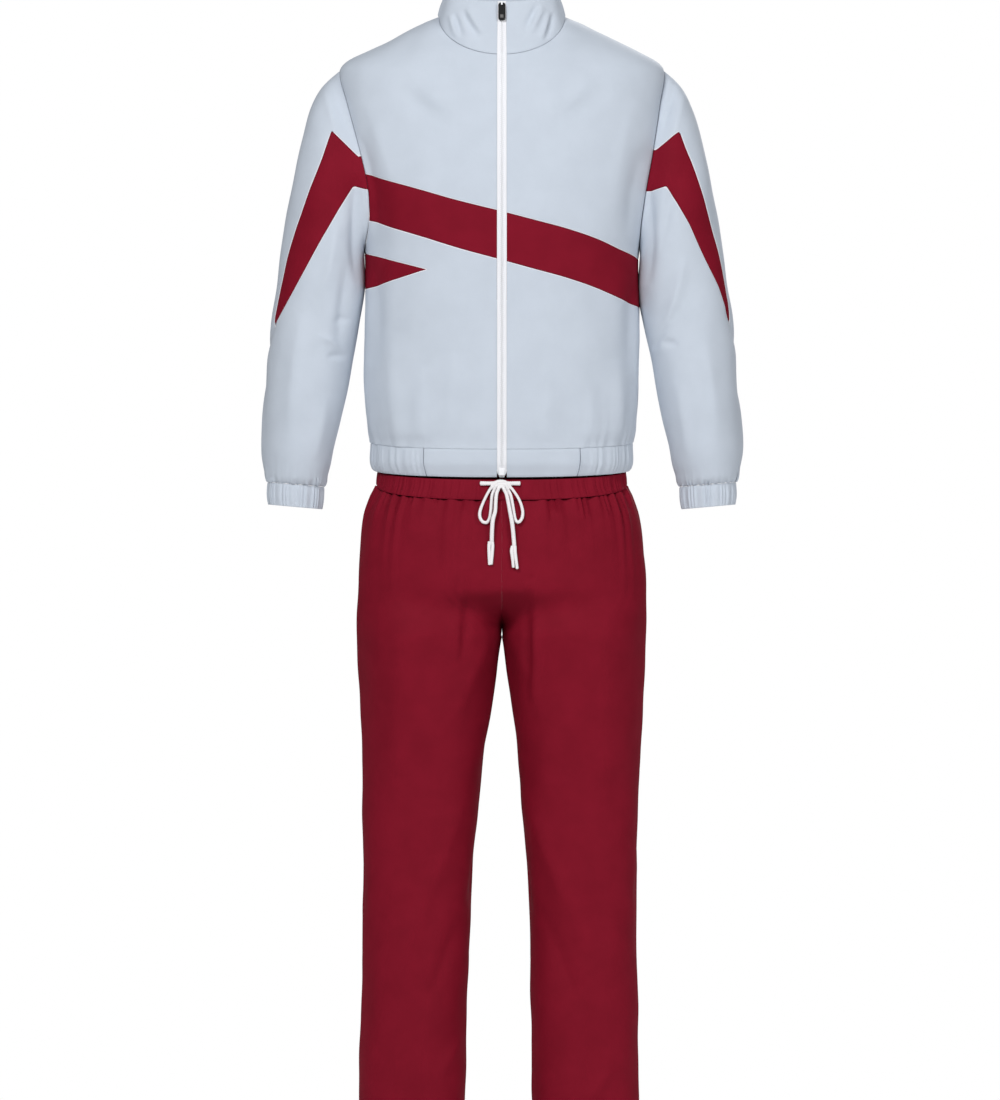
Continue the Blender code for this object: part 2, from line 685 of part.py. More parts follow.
def sleeve(side, light, dark):
    spike = SPIKES[side.name]
    point_row = SPIKE_ROWS[side.name]
    place = sleeve_wall(side)
    spike_rows, rest_rows, columns = 10, 6, 20
    rows = spike_rows + rest_rows
    gap = SEAM / 2 / SLEEVE_RADIUS
    uppers, lowers = [], []
    for row in range(spike_rows):
        at = point_row * row / spike_rows
        uppers.append(crossing(side, at, spike["upper"], NO_CROSSING))
        lowers.append(crossing(side, at, spike["lower"], NO_CROSSING))
    half = (lowers[-1] - uppers[-1]) / 2
    tip = (lowers[-1] + uppers[-1]) / 2
    dark_point = point_row * (1 - 2.2 * gap / (half + gap) / spike_rows)

    def sleeve_row(v):
        row = round(v * rows)
        if row <= spike_rows:
            return point_row * row / spike_rows, row
        return mix(point_row, LAST_RING, (row - spike_rows) / rest_rows), row

    def light_place(u, v, depth):
        at, row = sleeve_row(v)
        if row < spike_rows:
            first, last = lowers[row] + gap, 2 * pi + uppers[row] - gap
        else:
            first, last = tip, 2 * pi + tip
        return place(mix(first, last, u), at, depth)
    cloth(f"sleeve_{side.name}", columns, rows, light_place, light)

    def dark_place(u, v, depth):
        row = round(v * spike_rows)
        if row == spike_rows:
            return place(tip, dark_point, depth)
        return place(mix(uppers[row] + gap, lowers[row] - gap, u), point_row * row / spike_rows,
                     depth)
    cloth(f"sleeve_spike_{side.name}", 4, spike_rows, dark_place, dark)


def cuff(side, light):
    columns = 2 * CUFF_RIBS

    def form(angle, at):
        return arm_ring(CUFF_ROWS, side, at, angle)

    def place(u, v, depth):
        angle, at = 2 * pi * u, mix(len(CUFF) - 1, 0, v)
        return form(angle, at) - depth * side.sign * normal_of(form, angle, at)
    cloth(f"cuff_{side.name}", columns, 2, place, light,
          lambda u, v: CUFF_RAISE * (round(u * columns) % 2) * (v < 1))


# Trousers.

def trousers_form(side):
    """Half of the trousers: turn 0 on the front's inner edge, a half turn on the back's."""
    def form(turn, height):
        hip = hips(turn, height)
        point = Vector((max(abs(hip.x), SEAM / 2) * side.sign, hip.y, height))
        if height < FORK_TOP:
            outer, inner, front, back, shift = read_off(LEGS, height)
            across, ahead = oval((outer - inner) / 2, front, back, 2 * turn - QUARTER)
            leg = Vector((side.sign * ((outer + inner) / 2 + across) + shift, ahead, height))
            point = mix(point, leg, ease((FORK_TOP - height) / (FORK_TOP - FORK)))
        return point
    return form


LEG_STOPS = (-1695, -1560, -1430, -1310, -1210, -1120, -1050, -995, -955, -924, -903,
             -885, -868, -850, -815, -775, -740)


def trouser_panel(side, behind, dark):
    form = trousers_form(side)
    first, last = (QUARTER, pi) if behind else (0, QUARTER)
    first, last = first + LEG_SEAM_TURN, last - LEG_SEAM_TURN
    rows = len(LEG_STOPS)

    def spots(u, v):
        turn = mix(first, last, u)
        row = round(v * rows)
        if row < rows:
            return turn, LEG_STOPS[row] * MM
        return turn, dip(turn, WAIST_SEAM, WAIST_SEAM_DIP) - 2 * SEAM

    def place(u, v, depth):
        turn, height = spots(u, v)
        out = side.sign * normal_of(form, turn, height)
        if height > FORK:
            near = min(turn, pi - turn) / FORK_SPREAD
            out = mix(Vector((0, out.y, out.z)), out, min(near, 1)).normalized()
        return form(turn, height) - depth * out
    where = "back" if behind else "front"
    cloth(f"trouser_{where}_{side.name}", 9, rows, place, dark)


def waistband(dark):
    columns = 2 * WAIST_RIBS

    def spots(u, v):
        turn = 2 * pi * u
        return turn, mix(dip(turn, WAIST_SEAM, WAIST_SEAM_DIP),
                         dip(turn, WAIST_TOP, WAIST_TOP_DIP), v)
    cloth("waistband", columns, 2, wall_on(hips, spots), dark,
          lambda u, v: WAIST_RAISE * (round(u * columns) % 2) * (0 < v < 1))


# Zip.

PIVOT_HEIGHT = 22.5 * MM
SLIDER_HALF, SLIDER_THICK, SLIDER_CLEAR = 4.6 * MM, 2.4 * MM, 0.6 * MM
SLIDER_LOW, SLIDER_HIGH = -7.5 * MM, 3.3 * MM
LOOP_HALF, LOOP_REACH, LOOP_WALL = 1.2 * MM, 2.6 * MM, 1.3 * MM
PIVOT_OUT = SLIDER_CLEAR + SLIDER_THICK + LOOP_REACH - LOOP_WALL
TAB_HALF, TAB_THICK, TAB_BAR, TAB_LOW = 5.35 * MM, 1.4 * MM, 1.4 * MM, -26 * MM
TAB_SLOT_HALF, TAB_SLOT_LOW = 1.9 * MM, -4.3 * MM
WINDOW = (2.6 * MM, -22.4 * MM, -17 * MM, 0.35 * MM)


def zip_line(across, height):
    """Point on the closed front, on the body and then up the collar."""
    if height <= NECK_FRONT:
        return jacket(turn_at(JACKET, across, height), height)
    part = (height - NECK_FRONT) / (COLLAR_TOP_FRONT - NECK_FRONT)
    return collar_spot(asin(across / NECK_HALF), part)


def zip_tape(side, white):
    def place(u, v, depth):
        across = side.sign * mix(TEETH_GAP, TAPE_HALF, u)
        height = mix(HEM_FOOT - HEM_DIP, COLLAR_TOP_FRONT, v)
        return zip_line(across, height) - depth * normal_of(zip_line, across, height)
    cloth(f"zip_tape_{side.name}", 1, 22, place, white)


def pivot():
    """Where the pull tab hangs on the slider, and how far the collar leans back there."""
    spot = zip_line(0, PIVOT_HEIGHT)
    down = (zip_line(0, PIVOT_HEIGHT - 20 * MM) - spot).normalized()
    lean = asin(down.y)
    out = Vector((0, down.z, -down.y))
    return spot + out * PIVOT_OUT, lean


def block(name, low, high, look=None, bevel=0.0):
    """A box between two corners, turned and placed as the zip's top end is."""
    bm = bmesh.new()
    bmesh.ops.create_cube(bm, size=1)
    middle, size = (Vector(low) + Vector(high)) / 2, Vector(high) - Vector(low)
    for vert in bm.verts:
        vert.co = middle + Vector(a * b for a, b in zip(vert.co, size))
    if bevel:
        ahead = [edge for edge in bm.edges
                 if abs(edge.verts[0].co.y - edge.verts[1].co.y) > 1e-6]
        bmesh.ops.bevel(bm, geom=ahead, offset=bevel, affect="EDGES", segments=3, profile=0.5,
                        material=-1)
    bmesh.ops.recalc_face_normals(bm, faces=bm.faces)
    made = finish_object(name, bm, look or material("cutter", WHITE))
    made.location, lean = pivot()
    made.rotation_euler.x = lean
    return made


def carve(piece, other, how):
    step = piece.modifiers.new(how.lower(), "BOOLEAN")
    step.operation, step.object = how, other
    other.hide_render = True
    other.display_type = "WIRE"


def zip_slider(white):
    body_front = PIVOT_OUT - SLIDER_CLEAR - SLIDER_THICK
    body = block("zip_slider", (-SLIDER_HALF, body_front, SLIDER_LOW),
                 (SLIDER_HALF, body_front + SLIDER_THICK, SLIDER_HIGH), white, 1.5 * MM)
    loop = block("slider_loop", (-LOOP_HALF, -LOOP_REACH, -LOOP_REACH),
                 (LOOP_HALF, body_front + SLIDER_THICK / 2, LOOP_REACH))
    hole_half = LOOP_REACH - LOOP_WALL
    hole = block("slider_hole", (-2 * LOOP_HALF, -hole_half, -hole_half),
                 (2 * LOOP_HALF, body_front, hole_half))
    carve(body, loop, "UNION")
    carve(body, hole, "DIFFERENCE")


def zip_pull_tab(black):
    tab = block("zip_pull_tab", (-TAB_HALF, -TAB_THICK / 2, TAB_LOW),
                (TAB_HALF, TAB_THICK / 2, TAB_BAR / 2), black, 3.4 * MM)
    slot = block("tab_slot", (-TAB_SLOT_HALF, -TAB_THICK, TAB_SLOT_LOW),
                 (TAB_SLOT_HALF, TAB_THICK, -TAB_BAR / 2))
    half, low, high, deep = WINDOW
    window = block("tab_window", (-half, -TAB_THICK, low), (half, deep - TAB_THICK / 2, high))
    carve(tab, slot, "DIFFERENCE")
    carve(tab, window, "DIFFERENCE")


# Drawstring, in mm: across, height and how far its middle stands off the trousers.

CORD = 5.2 * MM
KNOT_AT, KNOT_HALF = (-2.4, -697, 5.8), Vector((14.2, 4.6, 6.2)) * MM
LEADS = {"right": ((-33, -695.5, 3.6), (-29, -695.5, 3.7), (-24, -695.5, 4.0), (-17.2, -695.5, 5)),
         "left": ((28, -695.5, 3.6), (24, -695.5, 3.7), (19, -695.5, 4.0), (12.4, -695.5, 5))}
LOOPS = {"right": ((-16.2, -702.6, 5.0), (-20.8, -709.5, 4.2), (-25.2, -718, 3.5),
                   (-29.6, -728, 3.1), (-32.8, -738, 3.1), (-32.6, -746.5, 3.1),
                   (-28.5, -752.8, 3.1), (-22.4, -753.6, 3.1), (-18.4, -747.5, 3.1),
                   (-16.6, -737, 3.1), (-15.6, -725, 3.1), (-14.4, -713, 3.6),
                   (-10.8, -703.8, 4.4)),
         "left": ((13.9, -702.6, 5.0), (20.2, -710.5, 4.2), (25.6, -719.5, 3.5),
                  (29.6, -730, 3.1), (31.2, -740.5, 3.1), (29.2, -749, 3.1),
                  (24.4, -753.4, 3.1), (20.2, -749.5, 3.1), (18, -739.5, 3.1),
                  (15.8, -726, 3.1), (12.9, -713, 3.8), (8.3, -703.8, 4.4))}
TAILS = {"right": ((-5.2, -703.8, 6.6), (-8, -711, 8.0), (-9.2, -724, 8.6), (-10, -737, 9.0),
                   (-13.4, -750, 9.0), (-14.6, -764, 7.6), (-15.2, -783, 4.6)),
         "left": ((2.8, -703.8, 6.6), (6.8, -711.5, 8.4), (9.6, -724, 9.0), (12, -737, 9.0),
                  (14.6, -750.5, 9.0), (16.4, -764, 7.4), (18.6, -789.5, 4.7))}
TIP_LONG, TIP_WIDE, TIP_NARROW = 33 * MM, 8.4 * MM, 6 * MM


def on_trousers(across, height, off):
    spot = hips(turn_at(HIPS, across * MM, height * MM), height * MM)
    return spot - Vector((0, off * MM, 0))


def smooth_route(points, gap):
    """Points on a smooth curve through a route, about so far apart."""
    found = []
    for index in range(len(points) - 1):
        before, after = points[max(index - 1, 0)], points[min(index + 2, len(points) - 1)]
        start, end = points[index], points[index + 1]
        m0, m1 = (end - before) / 2, (after - start) / 2
        steps = max(1, round((end - start).length / gap))
        for step in range(steps):
            t = step / steps
            found.append(start * (2 * t ** 3 - 3 * t * t + 1) + m0 * (t ** 3 - 2 * t * t + t)
                         + end * (3 * t * t - 2 * t ** 3) + m1 * (t ** 3 - t * t))
    return found + [points[-1]]


def cord(name, route, look):
    points = smooth_route([on_trousers(*spot) for spot in route], 6 * MM)
    curve = bpy.data.curves.new(name, "CURVE")
    curve.dimensions = "3D"
    curve.bevel_depth, curve.bevel_resolution = CORD / 2, 2
    curve.use_fill_caps = True
    line = curve.splines.new("POLY")
    line.points.add(len(points) - 1)
    for spot, point in zip(line.points, points):
        spot.co = (*point, 1)
    curve.materials.append(look)
    made = bpy.data.objects.new(name, curve)
    bpy.context.scene.collection.objects.link(made)


def drawstring(white):
    for side in SIDES:
        cord(f"drawstring_lead_{side.name}", LEADS[side.name], white)
        cord(f"drawstring_loop_{side.name}", LOOPS[side.name], white)
        cord(f"drawstring_tail_{side.name}", TAILS[side.name], white)
        end = on_trousers(*TAILS[side.name][-1])
        bm = bmesh.new()
        bmesh.ops.create_cone(bm, cap_ends=True, segments=10, radius1=TIP_NARROW / 2,
                              radius2=TIP_WIDE / 2, depth=TIP_LONG)
        tip = finish_object(f"drawstring_end_{side.name}", bm, white)
        tip.location = end - Vector((0, 0, TIP_LONG / 2 + 2 * SEAM))
    bm = bmesh.new()
    bmesh.ops.create_uvsphere(bm, u_segments=12, v_segments=8, radius=1)
    for vert in bm.verts:
        vert.co = Vector(a * b for a, b in zip(vert.co, KNOT_HALF))
    knot = finish_object("drawstring_knot", bm, white)
    knot.location = on_trousers(*KNOT_AT)


def build():
    for item in list(bpy.data.objects):
        bpy.data.objects.remove(item)
    light = material("light_cloth", LIGHT)
    dark = material("dark_cloth", DARK)
    for side in SIDES:
        front_upper(side, light)
        chest_band(side, dark)
    front_lower_left(light)
    front_lower_right(light)
    front_tip(dark)
    backs(light, dark)
    hem(light)
    collar(light)
    for side in SIDES:
        sleeve(side, light, dark)
        cuff(side, light)
        trouser_panel(side, False, dark)
        trouser_panel(side, True, dark)
    waistband(dark)
    white, black = material("white", WHITE), material("black", BLACK, 0.4)
    for side in SIDES:
        zip_tape(side, white)
    zip_slider(white)
    zip_pull_tab(black)
    drawstring(white)


build()
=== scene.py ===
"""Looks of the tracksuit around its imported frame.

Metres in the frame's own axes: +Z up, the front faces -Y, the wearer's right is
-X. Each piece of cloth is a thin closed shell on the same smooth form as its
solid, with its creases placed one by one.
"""

import json
from collections import namedtuple
from math import pi

import bmesh
import bpy
import numpy as np
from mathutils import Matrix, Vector


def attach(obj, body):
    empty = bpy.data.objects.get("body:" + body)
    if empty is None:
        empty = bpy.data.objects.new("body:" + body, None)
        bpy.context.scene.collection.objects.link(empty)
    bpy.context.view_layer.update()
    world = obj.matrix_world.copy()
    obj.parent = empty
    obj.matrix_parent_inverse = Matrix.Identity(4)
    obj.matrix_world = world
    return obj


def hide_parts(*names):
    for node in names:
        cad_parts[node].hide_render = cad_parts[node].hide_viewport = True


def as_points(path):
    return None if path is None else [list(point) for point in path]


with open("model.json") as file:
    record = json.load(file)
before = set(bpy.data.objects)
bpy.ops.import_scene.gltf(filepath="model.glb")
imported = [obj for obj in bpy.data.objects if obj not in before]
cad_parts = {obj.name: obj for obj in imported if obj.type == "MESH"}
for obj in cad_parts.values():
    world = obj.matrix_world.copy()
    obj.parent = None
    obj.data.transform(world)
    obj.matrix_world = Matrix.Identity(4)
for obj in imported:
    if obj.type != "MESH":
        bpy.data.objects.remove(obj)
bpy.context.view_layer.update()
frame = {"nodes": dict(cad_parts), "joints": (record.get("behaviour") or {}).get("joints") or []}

MM = 0.001
SEAM = 0.0003           # gap between pieces
THIN = 0.0008           # thickness of one layer of cloth
WALL = 0.002            # thickness of doubled cloth: collar, cuffs, bands
ROUND = 2.3             # fullness of the body's sections, 2 is an ellipse
QUARTER = pi / 2
FIRST_GUESS = -0.3


# Camera.

VIEW_TALL, VIEW_MIDDLE, FAR = 1.65, Vector((-0.0028, 0, -0.795)), 30.0
camera = bpy.data.objects.new("camera", bpy.data.cameras.new("camera"))
camera.location = VIEW_MIDDLE - Vector((0, FAR, 0))
camera.rotation_euler = (QUARTER, 0, 0)
camera.data.lens = 36 * FAR / VIEW_TALL
camera.data.clip_end = 100
bpy.context.scene.collection.objects.link(camera)
bpy.context.scene.camera = camera


# The suit's form, from tables of sections in mm.

def table(*rows):
    return np.array(rows, float) * MM


# Jacket's body: height, half width at the side, depth in front and behind.
JACKET = table(
    (20, 64, 44, 50), (12, 76, 52, 58), (4.6, 94.7, 60, 66), (-12, 131, 70, 80),
    (-30, 167, 78, 90), (-45, 198, 87, 97), (-61, 229, 94, 103), (-76.5, 243.5, 101, 109),
    (-120, 242, 114, 118), (-200, 236, 126, 123), (-270, 224, 130, 120),
    (-320, 212, 130, 117), (-345, 206.5, 129, 116), (-420, 205, 126, 113),
    (-570, 203.6, 123, 114), (-615, 200.6, 120, 112), (-636, 196.5, 117, 110),
    (-665, 196.5, 116.5, 110), (-680, 191, 111, 105), (-690, 187, 108, 102))
HIPS = table(
    (-670, 185, 106, 101), (-690, 186.5, 107, 102), (-702, 189, 109, 105), (-716, 196, 112, 108),
    (-743, 205.5, 117, 116), (-787, 211.5, 121, 124), (-844, 214.5, 122, 131),
    (-935, 213.5, 118, 128), (-1000, 211, 112, 120))
# A leg: height, outer and inner edge from the middle, depth in front and behind, shift.
LEGS = table(
    (-800, 213, 0.02, 121, 128, 0), (-880, 214.5, 0.02, 119, 128, 0),
    (-914, 213.9, 0.02, 115, 124, 0), (-924, 213.7, 1.2, 115, 123, 0),
    (-935, 213.5, 3.6, 114, 122, 0), (-968, 212.5, 10.2, 110, 117, 0),
    (-1020, 210.5, 17.2, 103, 109, 0), (-1090, 208.5, 24.8, 94, 100, -1),
    (-1160, 207, 30.8, 85, 91, -2),
    (-1240, 206, 37.6, 80, 86, -3), (-1335, 205.5, 43.5, 76, 82, -3),
    (-1490, 206, 49.7, 71, 77, -4), (-1620, 207.5, 53, 68, 75, -5),
    (-1695, 208.5, 54, 67, 74, -5))
LEG_HEM, FORK_TOP, FORK = -1695 * MM, -850 * MM, -924 * MM
FORK_SPREAD = 0.2

# Sleeve rings: number, where each meets the arm's outer and inner line (distance from the
# middle and drop), half its depth, and how far ahead it lies.
SLEEVE = table(
    (0, 243.0, 76.5, 206.5, 345.0, 66, 0), (1e3, 270.0, 102.0, 206.2, 352.0, 71, 0),
    (2e3, 287.0, 134.0, 205.4, 363.0, 74, 0), (3e3, 299.5, 177.0, 204.8, 380.0, 75, 0),
    (4e3, 309.0, 219.0, 204.6, 400.0, 75, 1), (5e3, 318.5, 270.0, 207.2, 425.0, 73, 2),
    (6e3, 330.0, 337.0, 213.6, 458.0, 70, 3), (7e3, 338.5, 398.0, 220.0, 491.0, 67, 4),
    (8e3, 345.5, 447.0, 227.5, 529.0, 64, 6), (9e3, 350.0, 503.0, 235.0, 571.0, 62, 8),
    (10e3, 353.5, 552.0, 241.8, 603.0, 60, 9), (11e3, 357.5, 607.0, 250.0, 638.0, 57, 10),
    (12e3, 358.5, 645.0, 255.5, 666.0, 53, 11), (13e3, 356.0, 672.0, 261.5, 684.0, 46, 12),
    (14e3, 351.0, 693.0, 266.5, 700.0, 36, 12))
CUFF = table(
    (0, 351.0, 693.4, 266.5, 700.4, 35, 12), (1e3, 351.5, 712.0, 267.5, 719.0, 34.5, 12),
    (2e3, 350.0, 727.0, 269.5, 734.0, 33.5, 12))
CUFF_RIBS, CUFF_RAISE = 34, 1.1 * MM
LAST_RING, ARM_BLEND = 14, 4.0

ARM_TOP, ARM_FOOT, ARM_LEAN = -76.5 * MM, -345 * MM, 0.35
Side = namedtuple("Side", "name sign arm_front arm_back")
RIGHT = Side("right", -1, 67 * MM, 60 * MM)
LEFT = Side("left", 1, 46 * MM, 72 * MM)
SIDES = (RIGHT, LEFT)

# Dark inserts of the sleeves seen from the front: distance from the middle and drop.
SPIKES = {
    "right": {"upper": table((207, 203), (213.5, 207.6), (255, 167), (269, 208), (288.4, 255.5),
                             (308.4, 312), (320.6, 354.5), (333.2, 405.5), (344.5, 462)),
              "lower": table((196, 256), (204.8, 255), (221.5, 250), (243.5, 284.5), (269, 328),
                             (299.6, 384), (324, 427), (344, 462))},
    "left": {"upper": table((220, 193), (229, 197), (266, 168), (283.5, 211.8), (302, 270),
                            (322, 339), (334, 393), (344.5, 459)),
             "lower": table((212, 257.7), (222.3, 257.7), (245.5, 250), (262.5, 276),
                            (281, 309), (304, 358.2), (325, 401.3), (344, 459))}}
SPIKE_ROWS = {"right": 8.2, "left": 8.15}
NO_CROSSING, TIP_ROW = 0.16, 0.985

NECK_HALF, NECK_CROWD = 94.7 * MM, 0.22
NECK_FRONT, NECK_SIDE, NECK_BACK = -53.4 * MM, 4.6 * MM, 12 * MM
COLLAR_TOP_FRONT, COLLAR_TOP_BACK, COLLAR_TOP_HALF = 26.3 * MM, 58 * MM, 83 * MM
COLLAR_LEAN_FRONT, COLLAR_LEAN_BACK, COLLAR_TALL = 10 * MM, 2 * MM, 70 * MM

# Slanting chest band: distance from the middle and drop of its upper edge.
BAND = table((-215, 229), (-190, 237), (-124, 255.8), (-70, 271.5), (0, 289), (56, 303.6),
             (99, 315), (142, 329.6), (176, 345), (196, 354), (206, 360), (220, 366))
BAND_TALL = 72.5 * MM
TIP_AT, TIP_DROP = -113 * MM, -375.6 * MM
TIP_UPPER, TIP_LOWER, BACK_BAND_LOW_LEFT = -351 * MM, -405 * MM, -432 * MM
HEM_SEAM, HEM_FOOT, HEM_DIP = -634 * MM, -676 * MM, 10.5 * MM
HEM_FLAT_HALF, HEM_SEAM_TURN, HEM_RIBS, HEM_RAISE = 117 * MM, 0.0048, 44, 1.2 * MM
WAIST_TOP, WAIST_TOP_DIP = -676.5 * MM, 13.5 * MM
WAIST_SEAM, WAIST_SEAM_DIP = -698 * MM, 22 * MM
WAIST_RIBS, WAIST_RAISE, CASING_PULL = 76, 1.3 * MM, 2.2 * MM
TAPE_HALF, TEETH_GAP = 7.2 * MM, 0.15 * MM


def read_off(rows, at):
    """All columns of a table at values of its first column, on a smooth curve."""
    rows = rows if rows[-1, 0] > rows[0, 0] else rows[::-1]
    keys, values = rows[:, 0], rows[:, 1:]
    padded = np.vstack([rows[:1], rows, rows[-1:]])
    slopes = (padded[2:, 1:] - padded[:-2, 1:]) / (padded[2:, :1] - padded[:-2, :1])
    at = np.asarray(at, float)
    low = np.clip(np.searchsorted(keys, at, "right") - 1, 0, len(keys) - 2)
    span = keys[low + 1] - keys[low]
    part = np.clip((at - keys[low]) / span, 0, 1)[..., None]
    start, end = values[low], values[low + 1]
    m0, m1 = slopes[low] * span[..., None], slopes[low + 1] * span[..., None]
    rise = end - start
    out = start + part * (m0 + part * (3 * rise - 2 * m0 - m1 + part * (m0 + m1 - 2 * rise)))
    return np.moveaxis(out, -1, 0)


def ease(value):
    value = np.clip(value, 0.0, 1.0)
    return value * value * (3 - 2 * value)


def mix(start, end, part):
    return start + (end - start) * part


def point(x, y, z):
    return np.stack(np.broadcast_arrays(x, y, z), -1).astype(float)


def unit(vectors):
    return vectors / np.maximum(np.linalg.norm(vectors, axis=-1, keepdims=True), 1e-12)


def oval(half, front, back, turn):
    """Across and ahead on a section: turn 0 is in front, a quarter is the left side."""
    across = half * np.abs(np.sin(turn)) ** (2 / ROUND) * np.sign(np.sin(turn))
    deep = np.abs(np.cos(turn)) ** (2 / ROUND)
    return across, np.where(np.cos(turn) > 0, -front, back) * deep


def jacket(turn, height):
    return point(*oval(*read_off(JACKET, height), turn), height)


def hips(turn, height):
    return point(*oval(*read_off(HIPS, height), turn), height)


def turn_at(rows, across, height):
    """Turn from the front at which a section is so far from the middle."""
    ratio = np.minimum(np.abs(across) / read_off(rows, height)[0], 1.0) ** (ROUND / 2)
    return np.where(np.asarray(across) > 0, 1, -1) * (QUARTER - np.arccos(ratio))


def side_turn(rows, height, away):
    """Turn from the middle to a line at some depth ahead of (or behind) the side."""
    _, front, back = read_off(rows, height)
    deep = np.where(np.asarray(away) < 0, front, back)
    return np.arccos(np.minimum(np.abs(away) / deep, 1.0) ** (ROUND / 2))


def normal_of(form, p, q):
    step_p, step_q = 1e-3, 2e-4
    along = form(p + step_p, q) - form(p - step_p, q)
    up = form(p, q + step_q) - form(p, q - step_q)
    return unit(np.cross(along, up))


# Edges of the jacket's panels, each as turn and height.

def arm_away(side, height, behind):
    """Depth of the armhole's edge ahead of or behind the side."""
    rise = 2 * (np.asarray(height) - ARM_FOOT) / (ARM_TOP - ARM_FOOT) - 1
    inside = np.abs(rise) < 1
    rise = np.clip(rise, -1, 1)
    deep = np.where(behind, side.arm_back, side.arm_front)
    return np.where(inside, np.sqrt(1 - rise * rise) * (1 - ARM_LEAN * rise) * deep, 0)


def edge_turn(side, height, behind=False, gap=SEAM / 2):
    away = arm_away(side, height, behind) + gap
    turn = side_turn(JACKET, height, np.where(behind, away, -away))
    return np.where(behind, pi - side.sign * turn, side.sign * turn)


def armhole(side, angle):
    """Turn and height on the armhole: angle 0 on top, a quarter in front, half at the foot."""
    height = mix(ARM_FOOT, ARM_TOP, (1 + np.cos(angle)) / 2)
    return edge_turn(side, height, np.sin(angle) < 0, 0.0), height


def side_edge(side, low, high, behind=False):
    """Side edge of a body panel, with even steps round the armhole."""
    stops = [low] + [stop for stop in (ARM_FOOT, ARM_TOP) if low < stop < high] + [high]
    parts, heights = [0.0], [low]
    for start, end in zip(stops, stops[1:]):
        step = np.linspace(0, 1, 60)[1:]
        if start >= ARM_FOOT and end <= ARM_TOP:
            reach = ARM_TOP - ARM_FOOT
            first, last = np.arccos(np.clip(2 * (np.array([start, end]) - ARM_FOOT) / reach - 1,
                                            -1, 1))
            heights += list(mix(ARM_FOOT, ARM_TOP, (1 + np.cos(mix(first, last, step))) / 2))
        else:
            heights += list(mix(start, end, step))
        parts += list(mix((start - low) / (high - low), (end - low) / (high - low), step))

    def at(v):
        height = np.interp(v, parts, heights)
        return np.stack([edge_turn(side, height, behind), height], -1)
    return at


def middle_edge(side, low, high):
    """Front edge of a body panel, beside the zip."""
    def at(v):
        height = mix(low, high, v)
        return np.stack([turn_at(JACKET, side.sign * (TAPE_HALF + SEAM), height), height], -1)
    return at


def neckline(turn):
    """Turn and height on the jacket of the neckline, at a turn of the neck's own."""
    across = NECK_HALF * np.sin(turn)
    front = mix(NECK_FRONT, NECK_SIDE, 1 - np.cos(turn))
    back = mix(NECK_SIDE, NECK_BACK, 1 - np.abs(np.sin(turn)))
    height = np.where(np.cos(turn) >= 0, front, back)
    spot = turn_at(JACKET, across, height)
    return np.stack([np.where(np.cos(turn) >= 0, spot, pi - spot), height], -1)


def band_edge(turn, down=0.0):
    """Height of the chest band's upper edge, or of a line so far below it."""
    height = FIRST_GUESS
    for _ in range(3):
        height = -read_off(BAND, jacket(turn, height)[..., 0])[0]
    return height - down


def settle(line, side):
    """Height at which a line reaches a panel's side edge."""
    height = FIRST_GUESS
    for _ in range(12):
        height = float(line(edge_turn(side, height)))
    return height


def dip(turn, level, deep):
    """A hem's height: level round the back, deeper at the middle of the front."""
    return level - deep * np.maximum(np.cos(turn), 0.0)


def neck_turn(part):
    """Turn round the neck, with closer steps at its sides."""
    return pi * part + NECK_CROWD * np.sin(2 * pi * part)


def neck_part(turn):
    part = turn / pi
    for _ in range(20):
        part -= (neck_turn(part) - turn) / pi
    return part


def patch(bottom, top, left, right):
    """Turn and height inside four edges, each a function of a part from 0 to 1."""
    c00, c10, c01, c11 = bottom(0.0), bottom(1.0), top(0.0), top(1.0)

    def at(u, v):
        uu, vv = u[..., None], v[..., None]
        corners = mix(mix(c00, c10, uu), mix(c01, c11, uu), vv)
        spots = mix(bottom(u), top(u), vv) + mix(left(v), right(v), uu) - corners
        return spots[..., 0], spots[..., 1]
    return at


def arm_ring(rows, side, at, angle):
    """Point of a sleeve ring: angle 0 on the outer line, a quarter in front."""
    out, out_drop, into, into_drop, deep, ahead = read_off(rows, at)
    part = (1 + np.cos(angle)) / 2
    return point(side.sign * mix(into, out, part), -ahead - deep * np.sin(angle),
                 -mix(into_drop, out_drop, part))


def sleeve_form(side):
    def form(angle, at):
        ring = arm_ring(SLEEVE, side, at, angle)
        hole = jacket(*armhole(side, angle))
        off = hole - arm_ring(SLEEVE, side, 0.0, angle)
        return ring + off * (1 - np.clip(at / ARM_BLEND, 0, 1))[..., None] ** 2
    return form


def crossing(side, at, line):
    """Angle at which a ring of the sleeve meets a line that is given as seen in front."""
    angle = np.linspace(0, pi, 121)
    ring = sleeve_form(side)(angle, np.full_like(angle, at))
    ring = np.stack([np.abs(ring[:, 0]), -ring[:, 2]], -1)
    a, b = ring[:-1, None], ring[1:, None] - ring[:-1, None]
    c, d = line[None, :-1], line[None, 1:] - line[None, :-1]
    cross = b[..., 0] * d[..., 1] - b[..., 1] * d[..., 0]
    cross = np.where(np.abs(cross) < 1e-12, 1e-12, cross)
    s = ((c - a)[..., 0] * d[..., 1] - (c - a)[..., 1] * d[..., 0]) / cross
    t = ((c - a)[..., 0] * b[..., 1] - (c - a)[..., 1] * b[..., 0]) / cross
    found = np.argwhere((s >= 0) & (s <= 1) & (t >= 0) & (t <= 1))
    if not len(found):
        return NO_CROSSING
    step, other = found[0]
    return pi * (step + s[step, other]) / (len(angle) - 1)


